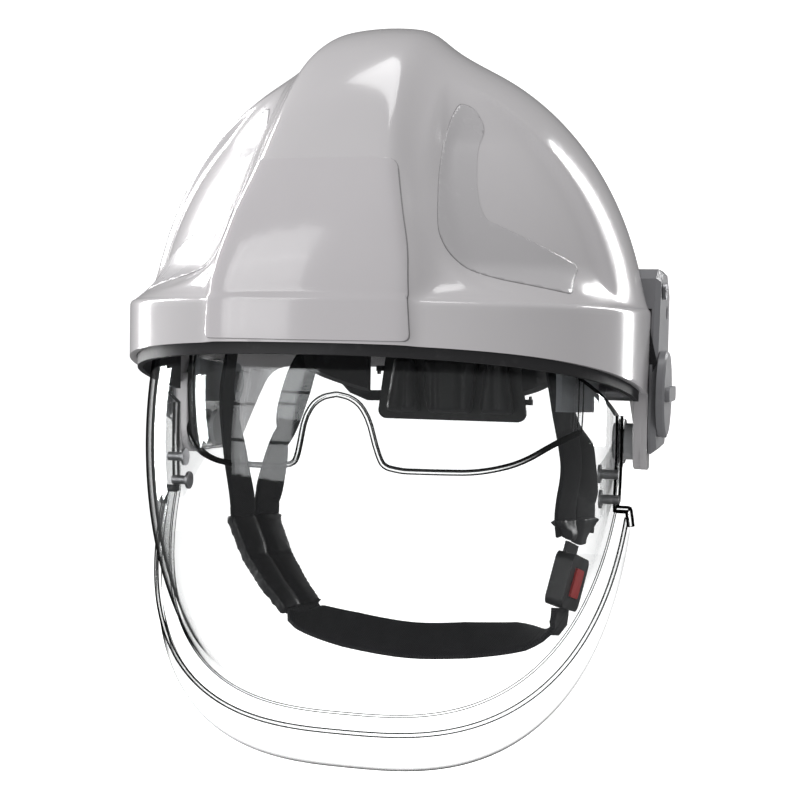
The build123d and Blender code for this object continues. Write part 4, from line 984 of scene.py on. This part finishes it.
SKIRT_EDGE = [(3.9, -14), (3.9, -30), (4.2, -46), (6.8, -52.6), (13, -55.1), (30, -55.1), (57, -55.1)]
LIP_INSET = 3.6
for side, flip in (("left", 1), ("right", -1)):
    lip_points = []
    for y, z in SKIRT_EDGE:
        out = BRIM_HALF_WIDTH * (1 - (abs(y) / BRIM_HALF_LENGTH) ** BRIM_POWER) ** (1 / BRIM_POWER)
        lip_points.append(((flip * (out - LIP_INSET), y, z), (1, 0, 0)))
    strap(f"skirt_lip_{side}", lip_points, 6.4, 1.8, (), shell_white)


# Cradle: three crossed bands over the head, each a little inside the one before

CRADLE_HALF, CRADLE_LENGTH, CRADLE_HEIGHT, CRADLE_MIDDLE = 77.2, 92.2, 96.3, 9


def cradle_stations(turn, first, last):
    """Stations of one band over the head, at an angle seen from above."""
    lean = math.radians(turn)
    reach = 1 / math.hypot(math.sin(lean) / CRADLE_HALF, math.cos(lean) / CRADLE_LENGTH)
    stations = []
    for step in range(13):
        lift = math.radians(first + (last - first) * step / 12)
        out = reach * math.cos(lift)
        stations.append(((math.sin(lean) * out, CRADLE_MIDDLE - math.cos(lean) * out,
                          CRADLE_HEIGHT * math.sin(lift)), (math.cos(lean), math.sin(lean), 0)))
    return stations


for name, turn, first, inset in (("first", 40, 24, 0), ("second", -40, 24, 1.7), ("third", 90, 8, 3.4)):
    stations = [((x * (1 - inset / 90), y * (1 - inset / 90), z - inset), side)
                for (x, y, z), side in cradle_stations(turn, first, 172)]
    strap(f"cradle_band_{name}", stations, 21, 1.2, ["cradle_bands"] if name == "first" else (),
          cradle_textile)


# Studio: floor, soft lights with a paned window to the left, and the photograph's camera

def stage_plane(name, size, place, turn, colour):
    """A floor or a backdrop."""
    bm = bmesh.new()
    bmesh.ops.create_grid(bm, x_segments=1, y_segments=1, size=size)
    bmesh.ops.transform(bm, matrix=Matrix.Translation(place) @ turn, verts=bm.verts)
    mesh = bpy.data.meshes.new(name)
    bm.to_mesh(mesh)
    bm.free()
    floor = bpy.data.objects.new(name, mesh)
    bpy.context.scene.collection.objects.link(floor)
    material, tree, place_at, out = finish_start(name)
    cloud = grain(place_at, 1.5, 2)
    surface(tree, out, (cloud * 0.2).between(colour, (0.9, 0.9, 0.9)), 0.9, level=0.1)
    mesh.materials.append(material)
    floor.visible_glossy = floor.visible_diffuse = False
    return floor


stage_plane("studio_floor", 12, (0, 0, -0.42), Matrix.Identity(4), (0.95, 0.95, 0.95))
stage_plane("studio_backdrop", 5, (0, 2.2, 2), Matrix.Rotation(math.pi / 2, 4, "X"), (1, 1, 1))
for stage_name in ("studio_floor", "studio_backdrop"):
    glow = bpy.data.materials[stage_name].node_tree.nodes["Principled BSDF"]
    glow.inputs["Emission Color"].default_value = (1, 1, 1, 1)
    glow.inputs["Emission Strength"].default_value = 0.62

world = bpy.data.worlds.new("studio")
bpy.context.scene.world = world
world.use_nodes = True
surround = world.node_tree.nodes["Background"]
surround.inputs[0].default_value = (1, 1, 1, 1)
ray = Shade(world.node_tree, world.node_tree.nodes.new("ShaderNodeLightPath").outputs["Is Glossy Ray"])
brightness = 0.5 - ray * 0.38
world.node_tree.links.new(brightness.socket, surround.inputs[1])


def lamp(name, place, aim, size, power):
    """Rectangular soft light."""
    light = bpy.data.lights.new(name, "AREA")
    light.shape = "RECTANGLE"
    light.size, light.size_y = size
    light.energy = power
    holder = bpy.data.objects.new(name, light)
    bpy.context.scene.collection.objects.link(holder)
    toward = Vector(aim) - Vector(place)
    holder.matrix_world = Matrix.Translation(place) @ toward.to_track_quat("-Z", "Y").to_matrix().to_4x4()
    return holder


lamp("left_wall", (-1.55, 0.6, 0.4), (0, 0, 0.02), (0.32, 1.7), 30)
lamp("right_wall", (0.95, 1.5, 0.5), (0, 0, 0.02), (0.2, 1.4), 12)
lamp("overhead", (0.1, 0.2, 1.6), (0, 0, 0), (1.0, 0.5), 6)
for column in range(4):
    for row in range(5):
        lamp(f"pane_{column}_{row}", (-0.96 + 0.15 * column, -1.25, -0.20 + 0.29 * row), (-0.05, -0.1, 0.0),
             (0.135, 0.265), 0.28)

CAMERA_TARGET, CAMERA_DISTANCE = Vector((0, 0, -0.025)), 0.75
turn, rise, roll = math.radians(15.3), math.radians(2.6), math.radians(1.0)
back = Vector((math.sin(turn) * math.cos(rise), -math.cos(turn) * math.cos(rise), math.sin(rise)))
right = Vector((math.cos(turn), math.sin(turn), 0))
up = back.cross(right)
rolled = right * math.cos(roll) + up * math.sin(roll)
upright = up * math.cos(roll) - right * math.sin(roll)
camera_data = bpy.data.cameras.new("camera")
camera_data.lens, camera_data.sensor_width = 67.5, 36
camera = bpy.data.objects.new("camera", camera_data)
bpy.context.scene.collection.objects.link(camera)
camera.matrix_world = Matrix.Translation(CAMERA_TARGET + back * CAMERA_DISTANCE) @ Matrix(
    (rolled, upright, back)).transposed().to_4x4()
bpy.context.scene.camera = camera
bpy.context.scene.view_settings.view_transform = "Standard"
